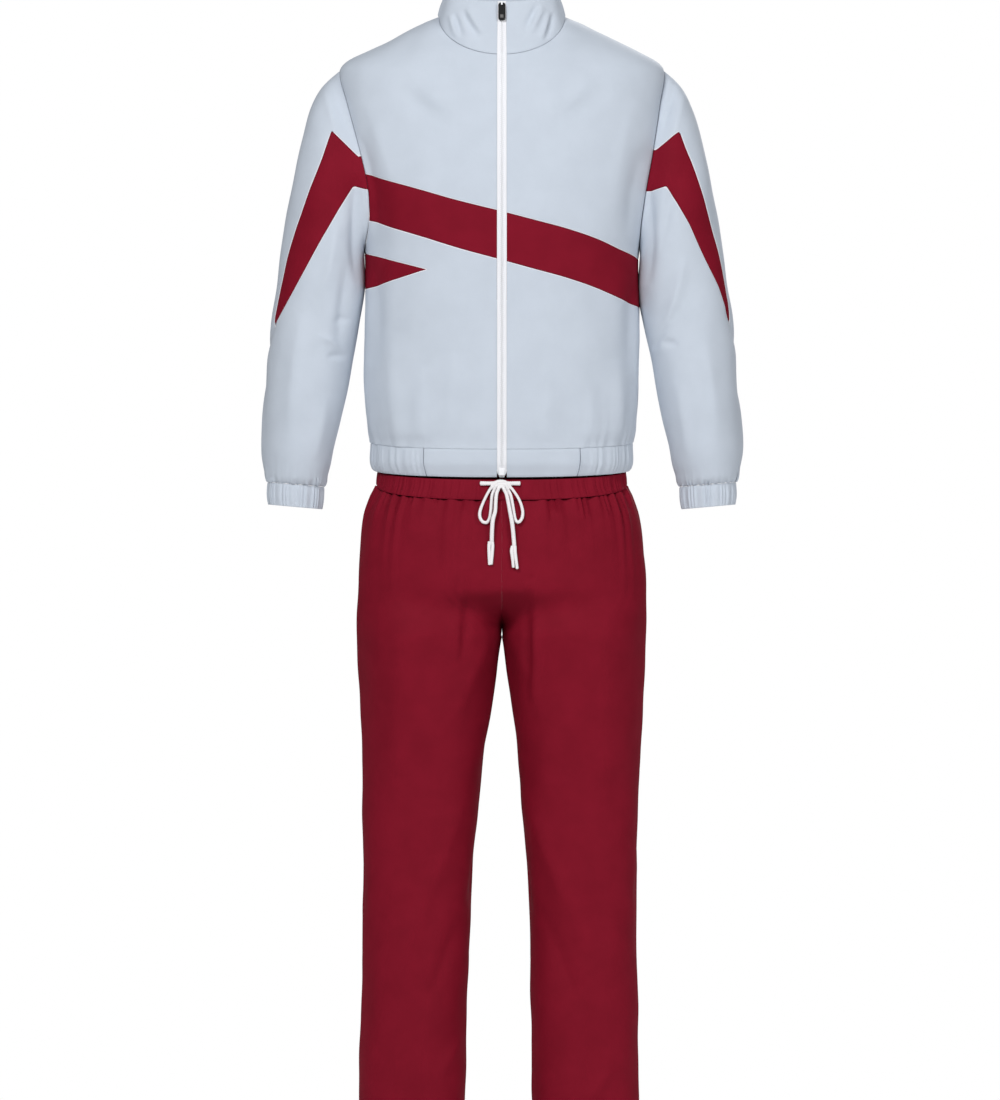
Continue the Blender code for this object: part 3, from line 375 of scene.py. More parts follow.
def trousers_form(side):
    """Half of the trousers: turn 0 on the front's inner edge, a half turn on the back's."""
    def form(turn, height):
        hip = hips(turn, height)
        hip[..., 0] = np.maximum(np.abs(hip[..., 0]), 2e-5) * side.sign
        outer, inner, front, back, shift = read_off(LEGS, height)
        across, ahead = oval((outer - inner) / 2, front, back, 2 * turn - QUARTER)
        leg = point(side.sign * ((outer + inner) / 2 + across) + shift, ahead, height)
        part = ease((FORK_TOP - height) / (FORK_TOP - FORK))[..., None]
        return mix(hip, leg, part)
    return form


def collar_spot(turn, part):
    """Point of the collar: part 0 on the neckline, 1 on the top edge."""
    spot = neckline(turn)
    base = jacket(spot[..., 0], spot[..., 1])
    rise = (1 - np.cos(turn)) / 2
    lean = mix(COLLAR_LEAN_FRONT, COLLAR_LEAN_BACK, rise)
    neck_ahead = abs(float(jacket(0.0, NECK_FRONT)[1]))
    top = point(base[..., 0] * COLLAR_TOP_HALF / NECK_HALF, base[..., 1] * (1 - lean / neck_ahead),
                mix(COLLAR_TOP_FRONT, COLLAR_TOP_BACK, rise))
    return mix(base, top, np.asarray(part)[..., None])


# Creases. Each row: the side it is seen from, three points of its line in that view
# (across the view and height, in mm), its half width and depth in mm, and its kind:
# a fold swells out (or in, where deep is below nothing), a step is a ridge on the left
# of its line beside a trough on the right.

Fold = namedtuple("Fold", "view a0 z0 a1 z1 a2 z2 wide deep kind")
VIEWS = {"front": (0, (0, -1, 0)), "back": (0, (0, 1, 0)),
         "left": (1, (1, 0, 0)), "right": (1, (-1, 0, 0))}


FOLD_GAIN = 1.75


def folds(points, normals, rows):
    """How far creases lift the cloth off its form, or sink it."""
    out = np.zeros(points.shape[:-1])
    for row in rows:
        axis, facing = VIEWS[row.view]
        a, z = points[..., axis], points[..., 2]
        t = np.linspace(0, 1, 9)[:, None]
        ends = np.array([(row.a0, row.z0), (row.a1, row.z1), (row.a2, row.z2)]) * MM
        line = (1 - t) ** 2 * ends[0] + 2 * t * (1 - t) * ends[1] + t * t * ends[2]
        reach = 2.6 * row.wide * MM
        low, high = line.min(0) - reach, line.max(0) + reach
        near = (a > low[0]) & (a < high[0]) & (z > low[1]) & (z < high[1])
        near &= normals @ np.array(facing, float) > 0
        if not near.any():
            continue
        spot = np.stack([a[near], z[near]], -1)
        best = np.full(len(spot), 1e9)
        signed, along = np.zeros(len(spot)), np.zeros(len(spot))
        for step, (start, end) in enumerate(zip(line, line[1:])):
            run = end - start
            part = np.clip((spot - start) @ run / (run @ run), 0, 1)
            off = spot - start - part[:, None] * run
            gap = np.linalg.norm(off, axis=-1)
            closer = gap < best
            best = np.where(closer, gap, best)
            signed = np.where(closer, np.sign(run[0] * off[:, 1] - run[1] * off[:, 0]), signed)
            along = np.where(closer, (step + part) / (len(line) - 1), along)
        s = best / (row.wide * MM)
        taper = np.clip(4 * along * (1 - along), 0, 1) ** 0.8
        lift = signed * s * np.exp(-s * s) * 2.33 if row.kind == "step" else np.exp(-s ** 1.7)
        face = ease((normals[near] @ np.array(facing, float)) / 0.45)
        out[near] += FOLD_GAIN * row.deep * MM * lift * taper * face
    return out


# Soft unevenness of the cloth: direction, wave length in mm, phase and height in mm.
SWELLS = ((0.9, 0.2, 0.35, 131, 0.4, 0.55), (0.5, 0.7, -0.5, 83, 2.1, 0.4),
          (-0.75, 0.6, 0.25, 59, 4.2, 0.28), (0.2, -0.5, 0.85, 171, 1.3, 0.5),
          (0.95, -0.3, -0.1, 41, 3.3, 0.16), (-0.3, 0.2, 0.93, 67, 5.1, 0.22))


def swell(points):
    out = np.zeros(points.shape[:-1])
    for x, y, z, length, phase, high in SWELLS:
        way = points @ np.array((x, y, z))
        out += high * MM * np.sin(2 * pi * way / (length * MM) + phase)
    return out


def uneven(number):
    """A steady value from 0 to 1 for each number, with no order in it."""
    return np.modf(np.abs(np.sin(np.asarray(number, float) * 12.9898 + 4.1) * 43758.5453))[0]


def gathers(part, away, count, reach, deep, seed=0.0):
    """Short creases that run off a gathered seam, each with its own place, length and depth."""
    where = part * count + 0.32 * np.sin(2 * pi * part * count * 0.31 + seed)
    low = np.floor(where)
    share = ease(where - low)
    long = mix(uneven(low + seed), uneven(low + 1 + seed), share)
    tall = mix(uneven(low * 1.7 + seed), uneven((low + 1) * 1.7 + seed), share)
    fade = np.exp(-(np.maximum(away, 0) / (reach * (0.3 + long))) ** 1.3)
    return deep * (0.45 + 0.8 * tall) * np.cos(2 * pi * where) * fade


# Shells.


def shell(name, outer, inner, slot, look, node, body="root", wrap=False, keep=None,
          marks=None):
    """A closed piece of cloth between two grids of points. marks holds its attributes."""
    rows, columns = outer.shape[:2]
    count = rows * columns
    for grid in (outer, inner):
        for row in range(1, rows):
            same = np.linalg.norm(grid[row] - grid[row - 1], axis=-1) < 1e-5
            grid[row][same] = grid[row - 1][same]
        shut = np.linalg.norm(grid[:, -1] - grid[:, 0], axis=-1) < 1e-5
        grid[shut, -1] = grid[shut, 0]
    index = np.arange(count).reshape(rows, columns)
    if wrap:
        index = np.hstack([index, index[:, :1]])
    quads = np.stack([index[:-1, :-1], index[:-1, 1:], index[1:, 1:], index[1:, :-1]], -1)
    quads = quads[keep] if keep is not None else quads.reshape(-1, 4)
    spots = np.round(outer.reshape(-1, 3) / 2e-6).astype(np.int64)
    _, first, same = np.unique(spots, axis=0, return_index=True, return_inverse=True)
    quads = first[same.reshape(-1)][quads]
    edges = np.concatenate([quads[:, [i, (i + 1) % 4]] for i in range(4)])
    edges = edges[edges[:, 0] != edges[:, 1]]
    there = set(map(tuple, edges.tolist()))
    rim = [(b, a, a + count, b + count) for a, b in there if (b, a) not in there]
    faces = quads.tolist() + (quads[:, ::-1] + count).tolist() + sorted(rim)
    faces = [list(dict.fromkeys(face)) for face in faces]
    mesh = bpy.data.meshes.new(name)
    mesh.from_pydata(np.vstack([outer.reshape(-1, 3), inner.reshape(-1, 3)]).tolist(), [],
                     [face for face in faces if len(face) > 2])
    for mark, values in (marks or {}).items():
        made = mesh.attributes.new(mark, "FLOAT", "POINT")
        made.data.foreach_set("value", np.tile(np.broadcast_to(
            values, (rows, columns)).reshape(-1), 2).astype(np.float32))
    bm = bmesh.new()
    bm.from_mesh(mesh)
    bmesh.ops.delete(bm, geom=[vert for vert in bm.verts if not vert.link_faces],
                     context="VERTS")
    bmesh.ops.remove_doubles(bm, verts=bm.verts, dist=2e-6)
    bmesh.ops.recalc_face_normals(bm, faces=bm.faces)
    bm.to_mesh(mesh)
    bm.free()
    mesh.shade_smooth()
    mesh.set_sharp_from_angle(angle=0.9)
    mesh.materials.append(look)
    piece = bpy.data.objects.new(name, mesh)
    bpy.context.scene.collection.objects.link(piece)
    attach(piece, body)
    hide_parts(node)
    return piece


PITCH = 4 * MM


def stops(length, pitch, fine=(0.5, 1.1, 1.9, 3.0, 4.6)):
    """Places from 0 to 1 along a length, closer together at both ends."""
    fine = [step * MM for step in fine if step * MM < length / 3]
    start = fine[-1] if fine else 0.0
    middle = np.linspace(start, length - start, max(2, round((length - 2 * start) / pitch)) + 1)
    ends = [0.0] + fine[:-1] if fine else []
    return np.concatenate([ends, middle, [length - end for end in ends[::-1]]]) / length


def near_line(points, line):
    """Distance from each point to a line of points."""
    flat = points.reshape(-1, 3)
    out = np.full(len(flat), 1e9)
    for start, end in zip(line, line[1:]):
        run = end - start
        square = run @ run
        if square < 1e-14:
            continue
        part = np.clip((flat - start) @ run / square, 0, 1)
        out = np.minimum(out, np.linalg.norm(flat - start - part[:, None] * run, axis=-1))
    return out.reshape(points.shape[:-1])


def thin_line(points, gap=0.008):
    """Every so many points of a line, with its ends."""
    run = np.concatenate([[0], np.cumsum(np.linalg.norm(np.diff(points, axis=0), axis=-1))])
    at = np.linspace(0, run[-1], max(2, int(run[-1] / gap) + 1))
    return np.stack([np.interp(at, run, points[:, axis]) for axis in range(3)], -1)


SEWN_DIP, SEWN_HALF = 0.5 * MM, 1.2 * MM


def sewn(gap):
    return -SEWN_DIP * np.exp(-(gap / SEWN_HALF) ** 2)


# Materials.

class Wire:
    """A shader socket that takes part in arithmetic."""
    def __init__(self, tree, socket):
        self.tree, self.socket = tree, socket

    def node(self, kind, **inputs):
        """Another node of the same tree, its inputs by name. Options come as lower-case words."""
        made = self.tree.nodes.new(kind)
        for name, value in inputs.items():
            if name.islower():
                setattr(made, name, value)
        for name, value in inputs.items():
            if name.islower():
                continue
            spot = made.inputs[name.replace("_", " ")]
            if isinstance(value, Wire):
                self.tree.links.new(value.socket, spot)
            else:
                spot.default_value = value
        return made

    def maths(self, how, other=0.0, third=None, turned=False):
        made = self.tree.nodes.new("ShaderNodeMath")
        made.operation = how
        for spot, value in zip(made.inputs, (other, self, third) if turned else (self, other, third)):
            if isinstance(value, Wire):
                self.tree.links.new(value.socket, spot)
            elif value is not None:
                spot.default_value = value
        return Wire(self.tree, made.outputs[0])

    def __add__(self, other):
        return self.maths("ADD", other)

    def __radd__(self, other):
        return self.maths("ADD", other)

    def __sub__(self, other):
        return self.maths("SUBTRACT", other)

    def __rsub__(self, other):
        return self.maths("SUBTRACT", other, turned=True)

    def __mul__(self, other):
        return self.maths("MULTIPLY", other)

    def __rmul__(self, other):
        return self.maths("MULTIPLY", other)

    def between(self, low, high):
        """0 below low, 1 above high, smooth between them."""
        made = self.node("ShaderNodeMapRange", interpolation_type="SMOOTHSTEP")
        self.tree.links.new(self.socket, made.inputs["Value"])
        made.inputs["From Min"].default_value, made.inputs["From Max"].default_value = low, high
        return Wire(self.tree, made.outputs[0])


def blend_colour(part, start, end):
    """Colour between two: each is a colour or a wire."""
    made = part.tree.nodes.new("ShaderNodeMix")
    made.data_type = "RGBA"
    part.tree.links.new(part.socket, made.inputs[0])
    for spot, value in ((made.inputs[6], start), (made.inputs[7], end)):
        if isinstance(value, Wire):
            part.tree.links.new(value.socket, spot)
        else:
            spot.default_value = (*value, 1)
    return Wire(part.tree, made.outputs[2])


def principled(name, colour, rough, **sockets):
    made = bpy.data.materials.new(name)
    made.use_nodes = True
    shader = made.node_tree.nodes["Principled BSDF"]
    shader.inputs["Base Color"].default_value = (*colour, 1)
    shader.inputs["Roughness"].default_value = rough
    for socket, value in sockets.items():
        shader.inputs[socket.replace("_", " ")].default_value = value
    return made, shader, Wire(made.node_tree, None)


def woven(name, colour, low, edge, rough, sheen, shine, fine):
    """Close woven cloth: a soft cloudiness, a fine weave and a line beside two-coloured seams."""
    made, shader, wire = principled(name, colour, rough, Sheen_Weight=sheen, Sheen_Roughness=0.5,
                                    Specular_IOR_Level=shine)
    tree = made.node_tree
    place = wire.node("ShaderNodeTexCoord")
    spot = Wire(tree, place.outputs["Object"])
    cloud = Wire(tree, wire.node("ShaderNodeTexNoise", Vector=spot, Scale=26.0,
                                 Detail=3.0).outputs[0])
    speck = Wire(tree, wire.node("ShaderNodeTexNoise", Vector=spot, Scale=900.0,
                                 Detail=2.0).outputs[0])
    tone = blend_colour((cloud * 0.7 + speck * 0.3).between(0.3, 0.7), low, colour)
    rim = Wire(tree, wire.node("ShaderNodeAttribute", attribute_name="rim").outputs["Fac"])
    tone = blend_colour(rim.between(*edge[1]), edge[0], tone)
    tree.links.new(tone.socket, shader.inputs["Base Color"])
    part = Wire(tree, wire.node("ShaderNodeSeparateXYZ", Vector=spot).outputs["Z"])
    side = Wire(tree, wire.node("ShaderNodeSeparateXYZ", Vector=spot).outputs["X"])
    weave = (part * fine).maths("SINE") * (side * fine).maths("SINE")
    bump = wire.node("ShaderNodeBump", Height=weave * 0.5 + speck, Strength=0.12, Distance=0.0004)
    tree.links.new(bump.outputs[0], shader.inputs["Normal"])
    return made


LIGHT = woven("light cloth", (0.525, 0.578, 0.652), (0.500, 0.552, 0.624),
              ((0.74, 0.72, 0.76), (0.9 * MM, 1.6 * MM)), 0.72, 0.05, 0.2, 6500.0)
DARK = woven("dark cloth", (0.200, 0.0060, 0.0185), (0.176, 0.0050, 0.0158),
             ((0.10, 0.004, 0.009), (0.3 * MM, 1.1 * MM)), 0.7, 0.0, 0.06, 6500.0)
TAPE = principled("zip tape", (0.76, 0.765, 0.80), 0.7)[0]
TEETH = principled("zip teeth", (0.86, 0.87, 0.89), 0.35, Coat_Weight=0.2)[0]
ENAMEL = principled("slider enamel", (0.82, 0.83, 0.86), 0.3, Coat_Weight=0.4)[0]
BLACK = principled("pull tab", (0.002, 0.002, 0.0025), 0.6, **{"Specular IOR Level": 0.25})[0]


# Jacket.

def arm_line(side):
    return thin_line(jacket(*armhole(side, np.linspace(0, 2 * pi, 200))), 0.006)


def across_line(rows, first, last):
    """Line on the jacket between two turns, its height given by turn."""
    turn = np.linspace(first, last, 120)
    return thin_line(jacket(turn, rows(turn)))


def upright_line(turn, low, high):
    height = np.linspace(low, high, 60)
    return thin_line(jacket(np.broadcast_to(turn(height), height.shape), height), 0.012)


def notch_line(turn, root):
    """Height of an edge of the pointed insert, from its tip to its root at the side."""
    tip_turn = turn_at(JACKET, TIP_AT, TIP_DROP)
    share = (np.sin(tip_turn) - np.sin(turn)) / (1 + np.sin(tip_turn))
    return mix(TIP_DROP, root, share)


band_left = float(band_edge(QUARTER))
tip_turn = float(turn_at(JACKET, TIP_AT, TIP_DROP))


def back_line(right, left):
    return lambda turn: mix(left, right, (turn - QUARTER) / pi)


back_top = back_line(TIP_UPPER, band_left)
back_low = back_line(TIP_LOWER, BACK_BAND_LOW_LEFT)
RIM_LINES = [across_line(lambda turn: band_edge(turn), -1.45, QUARTER),
             across_line(lambda turn: band_edge(turn, BAND_TALL), -1.53, 1.53),
             across_line(lambda turn: notch_line(turn, TIP_UPPER), -QUARTER, tip_turn),
             across_line(lambda turn: notch_line(turn, TIP_LOWER), -QUARTER, tip_turn),
             across_line(back_top, QUARTER, 3 * QUARTER), across_line(back_low, QUARTER, 3 * QUARTER)]
ARM_LINES = [arm_line(side) for side in SIDES]
PLAIN_LINES = [across_line(lambda turn: dip(turn, HEM_SEAM, HEM_DIP), -pi, pi)]
PLAIN_LINES += [upright_line(lambda height: np.float64(side.sign * QUARTER), low, high)
                for side in SIDES for low, high in ((HEM_SEAM, ARM_FOOT), (ARM_TOP, NECK_SIDE))]
neck_spots = neckline(np.linspace(-pi, pi, 200))
NECK_LINE = thin_line(jacket(neck_spots[:, 0], neck_spots[:, 1]))

BODY_FOLDS = [Fold(*row) for row in (
    # long soft falls of the fronts
    ("front", -160, -470, -172, -560, -150, -632, 15, 3.0, "fold"),
    ("front", -118, -520, -130, -590, -122, -634, 11, 2.0, "fold"),
    ("front", -70, -500, -84, -570, -76, -640, 14, 1.6, "fold"),
    ("front", 172, -510, 180, -580, 176, -634, 12, 2.6, "fold"),
    ("front", 128, -540, 138, -600, 130, -636, 10, 1.7, "fold"),
    ("front", 60, -480, 76, -570, 66, -640, 15, 1.5, "fold"),
    ("front", -196, -360, -180, -430, -188, -520, 10, -2.4, "fold"),
    ("front", 200, -380, 188, -450, 192, -530, 10, -2.2, "fold"),
    # from the armholes and shoulders
    ("front", -222, -180, -188, -250, -190, -330, 13, -3.0, "fold"),
    ("front", -208, -120, -176, -190, -160, -270, 15, 1.8, "fold"),
    ("front", 214, -190, 190, -260, 190, -330, 13, -2.6, "fold"),
    ("front", 204, -120, 178, -190, 166, -270, 15, 1.6, "fold"),
    ("front", -150, -90, -110, -130, -70, -150, 18, 1.4, "step"),
    ("front", 150, -90, 112, -130, 74, -150, 18, -1.4, "step"),
    ("back", -215, -170, -170, -250, -150, -340, 15, -3.0, "fold"),
    ("back", 215, -170, 176, -240, 160, -330, 15, -3.0, "fold"),
    ("back", -190, -120, -140, -200, -120, -300, 18, 2.4, "fold"),
    ("back", 190, -120, 146, -190, 130, -290, 18, 2.0, "fold"),
    ("back", -60, -150, -40, -260, -62, -380, 22, 1.8, "fold"),
    ("back", 70, -170, 44, -290, 58, -420, 22, -1.8, "fold"),
    ("back", -140, -450, -128, -540, -142, -632, 14, 3.2, "fold"),
    ("back", -90, -500, -98, -570, -88, -633, 12, 2.4, "fold"),
    ("back", -30, -470, -22, -560, -34, -634, 15, 3.0, "fold"),
    ("back", 28, -520, 36, -580, 30, -633, 11, 2.2, "fold"),
    ("back", 86, -460, 98, -550, 88, -634, 15, 3.0, "fold"),
    ("back", 146, -510, 140, -580, 150, -632, 12, 2.4, "fold"),
    ("back", -20, -560, 0, -590, 30, -560, 8, -1.2, "fold"),
    ("right", -40, -380, -20, -500, -34, -632, 14, 2.8, "fold"),
    ("right", 30, -420, 18, -530, 36, -632, 13, 2.4, "fold"),
    ("left", -36, -390, -24, -520, -40, -632, 14, 2.8, "fold"),
    ("left", 34, -430, 24, -540, 30, -632, 13, 2.4, "fold"),
)]


def jacket_lift(points, normals, turn, height):
    """How far the body's cloth stands off its form."""
    lift = folds(points, normals, BODY_FOLDS) + swell(points)
    arms = np.minimum(near_line(points, ARM_LINES[0]), near_line(points, ARM_LINES[1]))
    across = np.where(points[..., 1] < 0, np.abs(points[..., 0]), 1.0)
    calm = ease(arms / 0.016) * ease((across - TAPE_HALF) / 0.03)
    calm = calm * ease(near_line(points, NECK_LINE) / 0.02)
    over_hem = height - dip(turn, HEM_SEAM, HEM_DIP)
    gathered = ease((np.where(points[..., 1] < 0, np.abs(points[..., 0]), 1.0) - 0.10) / 0.03)
    short = gathers(turn / (2 * pi), over_hem, HEM_RIBS, 0.026, 1.5 * MM, 2.0)
    return lift * calm * ease(over_hem / 0.03 + 0.25) + short * gathered


def body_piece(name, node, spots, u, v, look, slot, marks=(), keep=None, turn_in=()):
    turn, height = spots(*np.meshgrid(u, v))
    points, out = jacket(turn, height), normal_of(jacket, turn, height)
    lines = RIM_LINES + ARM_LINES + PLAIN_LINES + [NECK_LINE]
    rim = np.min([near_line(points, line) for line in RIM_LINES], axis=0)
    seam = np.min([near_line(points, line) for line in lines[len(RIM_LINES):]], axis=0)
    seam = np.minimum(seam, rim)
    lift = jacket_lift(points, out, turn, height) + sewn(seam)
    outer = points + lift[..., None] * out
    return shell(name, outer, outer - THIN * out, slot, look, node=node, keep=keep,
                 marks={"rim": rim, "seam": seam})


def fronts(side):
    beside = side.sign * (TAPE_HALF + SEAM)

    def between(low, high, start=None):
        """Patch between two lines of the front, each a height by turn."""
        middle = float(turn_at(JACKET, beside, float(low(0.0))))
        left = middle_edge(side, float(low(middle)), float(high(middle)))
        right = side_edge(side, settle(low, side), settle(high, side))

        def along(line, first, last):
            def at(u):
                turn = mix(first[0], last[0], u)
                return np.stack([turn, line(turn)], -1)
            return at
        return patch(along(low, left(0.0), right(0.0)), along(high, left(1.0), right(1.0)),
                     left, right)

    def upper_spots():
        first_part = neck_part(np.arcsin(abs(beside) / NECK_HALF))

        def top(u):
            spot = neckline(side.sign * neck_turn(mix(first_part, 0.5, np.asarray(u, float))))
            return spot - np.array((0, SEAM / 2))
        right = side_edge(side, settle(lambda turn: band_edge(turn, -SEAM / 2), side), NECK_SIDE)
        first = float(turn_at(JACKET, beside, float(band_edge(0.0))))

        def bottom(u):
            turn = mix(first, right(0.0)[0], np.asarray(u, float))
            return np.stack([turn, band_edge(turn, -SEAM / 2)], -1)
        left = middle_edge(side, float(bottom(0.0)[1]), float(top(0.0)[1]))
        return patch(bottom, top, left, right)

    u = stops(0.22, PITCH)
    body_piece(f"{side.name}_front_upper_cloth", f"front_{side.name}_upper", upper_spots(),
               u, stops(0.25, PITCH), LIGHT, "light_cloth")
    body_piece(f"{side.name}_chest_band_cloth", f"front_{side.name}_band",
               between(lambda turn: band_edge(turn, BAND_TALL - SEAM / 2),
                       lambda turn: band_edge(turn, SEAM / 2)),
               u, stops(BAND_TALL, PITCH), DARK, "dark_cloth")
    if side is LEFT:
        body_piece("left_front_lower_cloth", "front_left_lower",
                   between(lambda turn: dip(turn, HEM_SEAM, HEM_DIP) + SEAM / 2,
                           lambda turn: band_edge(turn, BAND_TALL + SEAM / 2)),
                   u, stops(0.26, PITCH), LIGHT, "light_cloth")


def right_lower():
    """Right lower front: one piece of cloth with a notch that the dark point fills."""
    beside = -TAPE_HALF - SEAM
    band = float(band_edge(0.0, BAND_TALL + SEAM / 2))
    hem = float(dip(0.0, HEM_SEAM, HEM_DIP)) + SEAM / 2
    before, after = stops(0.1, PITCH)[:-1] * 0.5, 0.5 + stops(0.1, PITCH) * 0.5
    u = np.concatenate([before, after])

    def front_turn(part, start, end):
        return np.where(part <= 0.5, mix(start, tip_turn, part * 2),
                        mix(tip_turn, end, part * 2 - 1))

    def slot(turn, root, off):
        return np.where(turn >= tip_turn - 1e-9, TIP_DROP, notch_line(turn, root + off))
    side_low, side_top = TIP_UPPER + SEAM / 2, settle(
        lambda turn: band_edge(turn, BAND_TALL + SEAM / 2), RIGHT)
    sliver_side = side_edge(RIGHT, side_low, side_top)

    def low_spots(u, v):
        start = turn_at(JACKET, beside, mix(hem, TIP_DROP, v))
        turn = front_turn(u, start, edge_turn(RIGHT, mix(HEM_SEAM, TIP_LOWER, v)))
        return turn, mix(dip(turn, HEM_SEAM, HEM_DIP) + SEAM / 2,
                         slot(turn, TIP_LOWER, -SEAM / 2), v)

    def sliver_low(u):
        turn = front_turn(np.asarray(u, float), float(turn_at(JACKET, beside, TIP_DROP)),
                          sliver_side(0.0)[0])
        return np.stack([turn, slot(turn, TIP_UPPER, SEAM / 2)], -1)

    def sliver_high(u):
        turn = front_turn(np.asarray(u, float), float(turn_at(JACKET, beside, band)),
                          sliver_side(1.0)[0])
        return np.stack([turn, band_edge(turn, BAND_TALL + SEAM / 2)], -1)
    sliver = patch(sliver_low, sliver_high,
                   middle_edge(RIGHT, TIP_DROP, float(sliver_high(0.0)[1])), sliver_side)
    v_low, v_high = stops(0.26, PITCH), stops(0.05, PITCH)

    def spots(u, v):
        low, high = low_spots(u, np.clip(v, 0, 1)), sliver(u, np.clip(v - 2, 0, 1))
        return np.where(v <= 1, low[0], high[0]), np.where(v <= 1, low[1], high[1])
    v = np.concatenate([v_low, 2 + v_high])
    keep = np.ones((len(v) - 1, len(u) - 1), bool)
    keep[len(v_low) - 1] = False
    body_piece("right_front_lower_cloth", "front_right_lower", spots, u, v, LIGHT, "light_cloth",
               keep=keep)

    def tip_spots(u, v):
        start = float(turn_at(JACKET, TIP_AT - 1.3 * MM, TIP_DROP))
        turn = mix(start, float(edge_turn(RIGHT, TIP_LOWER)), u)
        low, high = (notch_line(turn, root) for root in (TIP_LOWER + SEAM / 2, TIP_UPPER - SEAM / 2))
        return turn, mix(low, high, v)
    body_piece("right_dark_point_cloth", "front_right_tip", tip_spots, stops(0.09, PITCH),
               stops(0.05, PITCH), DARK, "dark_cloth")


def backs():
    def panel(name, node, tall, low, high, look, slot, top_right, top_left):
        right = side_edge(RIGHT, float(low(QUARTER + pi)), top_right, True)
        left = side_edge(LEFT, float(low(QUARTER)), top_left, True)

        def bottom(u):
            turn = mix(right(0.0)[0], left(0.0)[0], np.asarray(u, float))
            return np.stack([turn, low(turn)], -1)

        def top(u):
            if high is None:
                spot = neckline(neck_turn(mix(1.5, 0.5, np.asarray(u, float))))
                return spot - np.array((0, SEAM / 2))
            turn = mix(right(1.0)[0], left(1.0)[0], np.asarray(u, float))
            return np.stack([turn, high(turn)], -1)
        body_piece(name, node, patch(bottom, top, right, left), stops(0.44, PITCH),
                   stops(tall, PITCH), look, slot)
    panel("back_upper_cloth", "back_upper", 0.36, lambda turn: back_top(turn) + SEAM / 2, None,
          LIGHT, "light_cloth", NECK_SIDE, NECK_SIDE)
    panel("back_band_cloth", "back_band", 0.06, lambda turn: back_low(turn) + SEAM / 2,
          lambda turn: back_top(turn) - SEAM / 2, DARK, "dark_cloth",
          TIP_UPPER - SEAM / 2, band_left - SEAM / 2)
    panel("back_lower_cloth", "back_lower", 0.23,
          lambda turn: HEM_SEAM + SEAM / 2 + 0 * np.asarray(turn),
          lambda turn: back_low(turn) - SEAM / 2, LIGHT, "light_cloth",
          TIP_LOWER - SEAM / 2, BACK_BAND_LOW_LEFT - SEAM / 2)


for side in SIDES:
    fronts(side)
right_lower()
backs()


def hem_and_waist():
    flat_turn = float(turn_at(JACKET, HEM_FLAT_HALF, HEM_SEAM))

    def band(name, node, first, last, columns, lift_at, form, edges, look, slot, wrap=False):
        """A doubled band with a rounded lower edge. edges(turn) gives its foot and its top."""
        u = np.linspace(0, 1, columns + 1)[:-1] if wrap else stops(1.0, 1 / columns)
        v = np.linspace(0, 1, 15)
        uu, vv = np.meshgrid(u, v)
        turn = mix(first(HEM_SEAM), last, uu)
        foot, top = edges(turn)
        height = mix(foot, top, vv)
        turn = mix(first(height), last, uu)
        points, out = form(turn, height), normal_of(form, turn, height)
        lift = lift_at(turn, uu, vv, points)
        round_off = WALL / 2 * (1 - np.sqrt(np.clip(1 - (1 - vv / 0.045) ** 2, 0, 1)))
        round_off = np.where(vv < 0.045, round_off, 0)
        outer = points + (lift - round_off)[..., None] * out
        inner = points + (lift * 0.6 - WALL + round_off)[..., None] * out
        seam = np.abs(height - top)
        return shell(name, outer, inner, slot, look, node=node, wrap=wrap,
                     marks={"rim": np.full(turn.shape, 0.05), "seam": seam})

    def hem_edges(turn):
        return dip(turn, HEM_FOOT, HEM_DIP), dip(turn, HEM_SEAM, HEM_DIP) - SEAM / 2

    def flat_lift(turn, u, v, points):
        return (swell(points) * 0.4 * ease(u * 6) * ease(v * 4) + sewn((1 - v) * 0.042)
                + sewn((1 - u) * 0.11) - 0.3 * MM * np.exp(-((v - 0.5) / 0.3) ** 4))
    for side in SIDES:
        def beside_zip(height, side=side):
            return turn_at(JACKET, side.sign * (TAPE_HALF + SEAM), height)
        band(f"{side.name}_hem_front_cloth", f"hem_front_{side.name}", beside_zip,
             side.sign * flat_turn, 36, flat_lift, jacket, hem_edges, LIGHT, "light_cloth")

    def gathered_lift(count, high, seed):
        def lift(turn, u, v, points):
            where = turn / (2 * pi)
            ribs = gathers(where, 0 * v, count, 0.05, high, seed)
            finer = gathers(where, 0 * v, count * 1.9, 0.05, high * 0.35, seed + 3)
            level = 0.35 + 0.65 * np.sin(pi * np.clip(v, 0, 1)) ** 0.6
            return (ribs * 0.8 + finer + high * 0.3) * level + sewn((1 - v) * 0.04)
        return lift
    first = flat_turn + HEM_SEAM_TURN
    band("hem_back_cloth", "hem_back", lambda height: first, 2 * pi - first, 500,
         gathered_lift(HEM_RIBS, HEM_RAISE, 2.0), jacket, hem_edges, LIGHT, "light_cloth")

    def waist_edges(turn):
        return dip(turn, WAIST_SEAM, WAIST_SEAM_DIP), dip(turn, WAIST_TOP, WAIST_TOP_DIP)
    band("waistband_cloth", "waistband", lambda height: 0.0, 2 * pi, 900,
         gathered_lift(WAIST_RIBS, WAIST_RAISE, 5.0), hips, waist_edges, DARK, "dark_cloth",
         wrap=True)


COLLAR_FOLDS = [Fold(*row) for row in (
    ("front", -74, 8, -70, -10, -63, -28, 5, -1.3, "step"),
    ("front", -56, 15, -44, -8, -30, -27, 6, 1.5, "step"),
    ("front", 58, 21, 48, 2, 38, -21, 6, 1.5, "step"),
    ("front", 74, 10, 68, -12, 62, -33, 5, -1.2, "step"),
    ("back", -50, 60, -44, 40, -52, 12, 7, 1.2, "fold"),
    ("back", 36, 60, 42, 36, 34, 12, 7, 1.2, "fold"),
    ("left", -40, 40, -30, 20, -38, -14, 7, 1.3, "fold"),
    ("right", -40, 40, -26, 20, -36, -14, 7, 1.3, "fold"),
)]


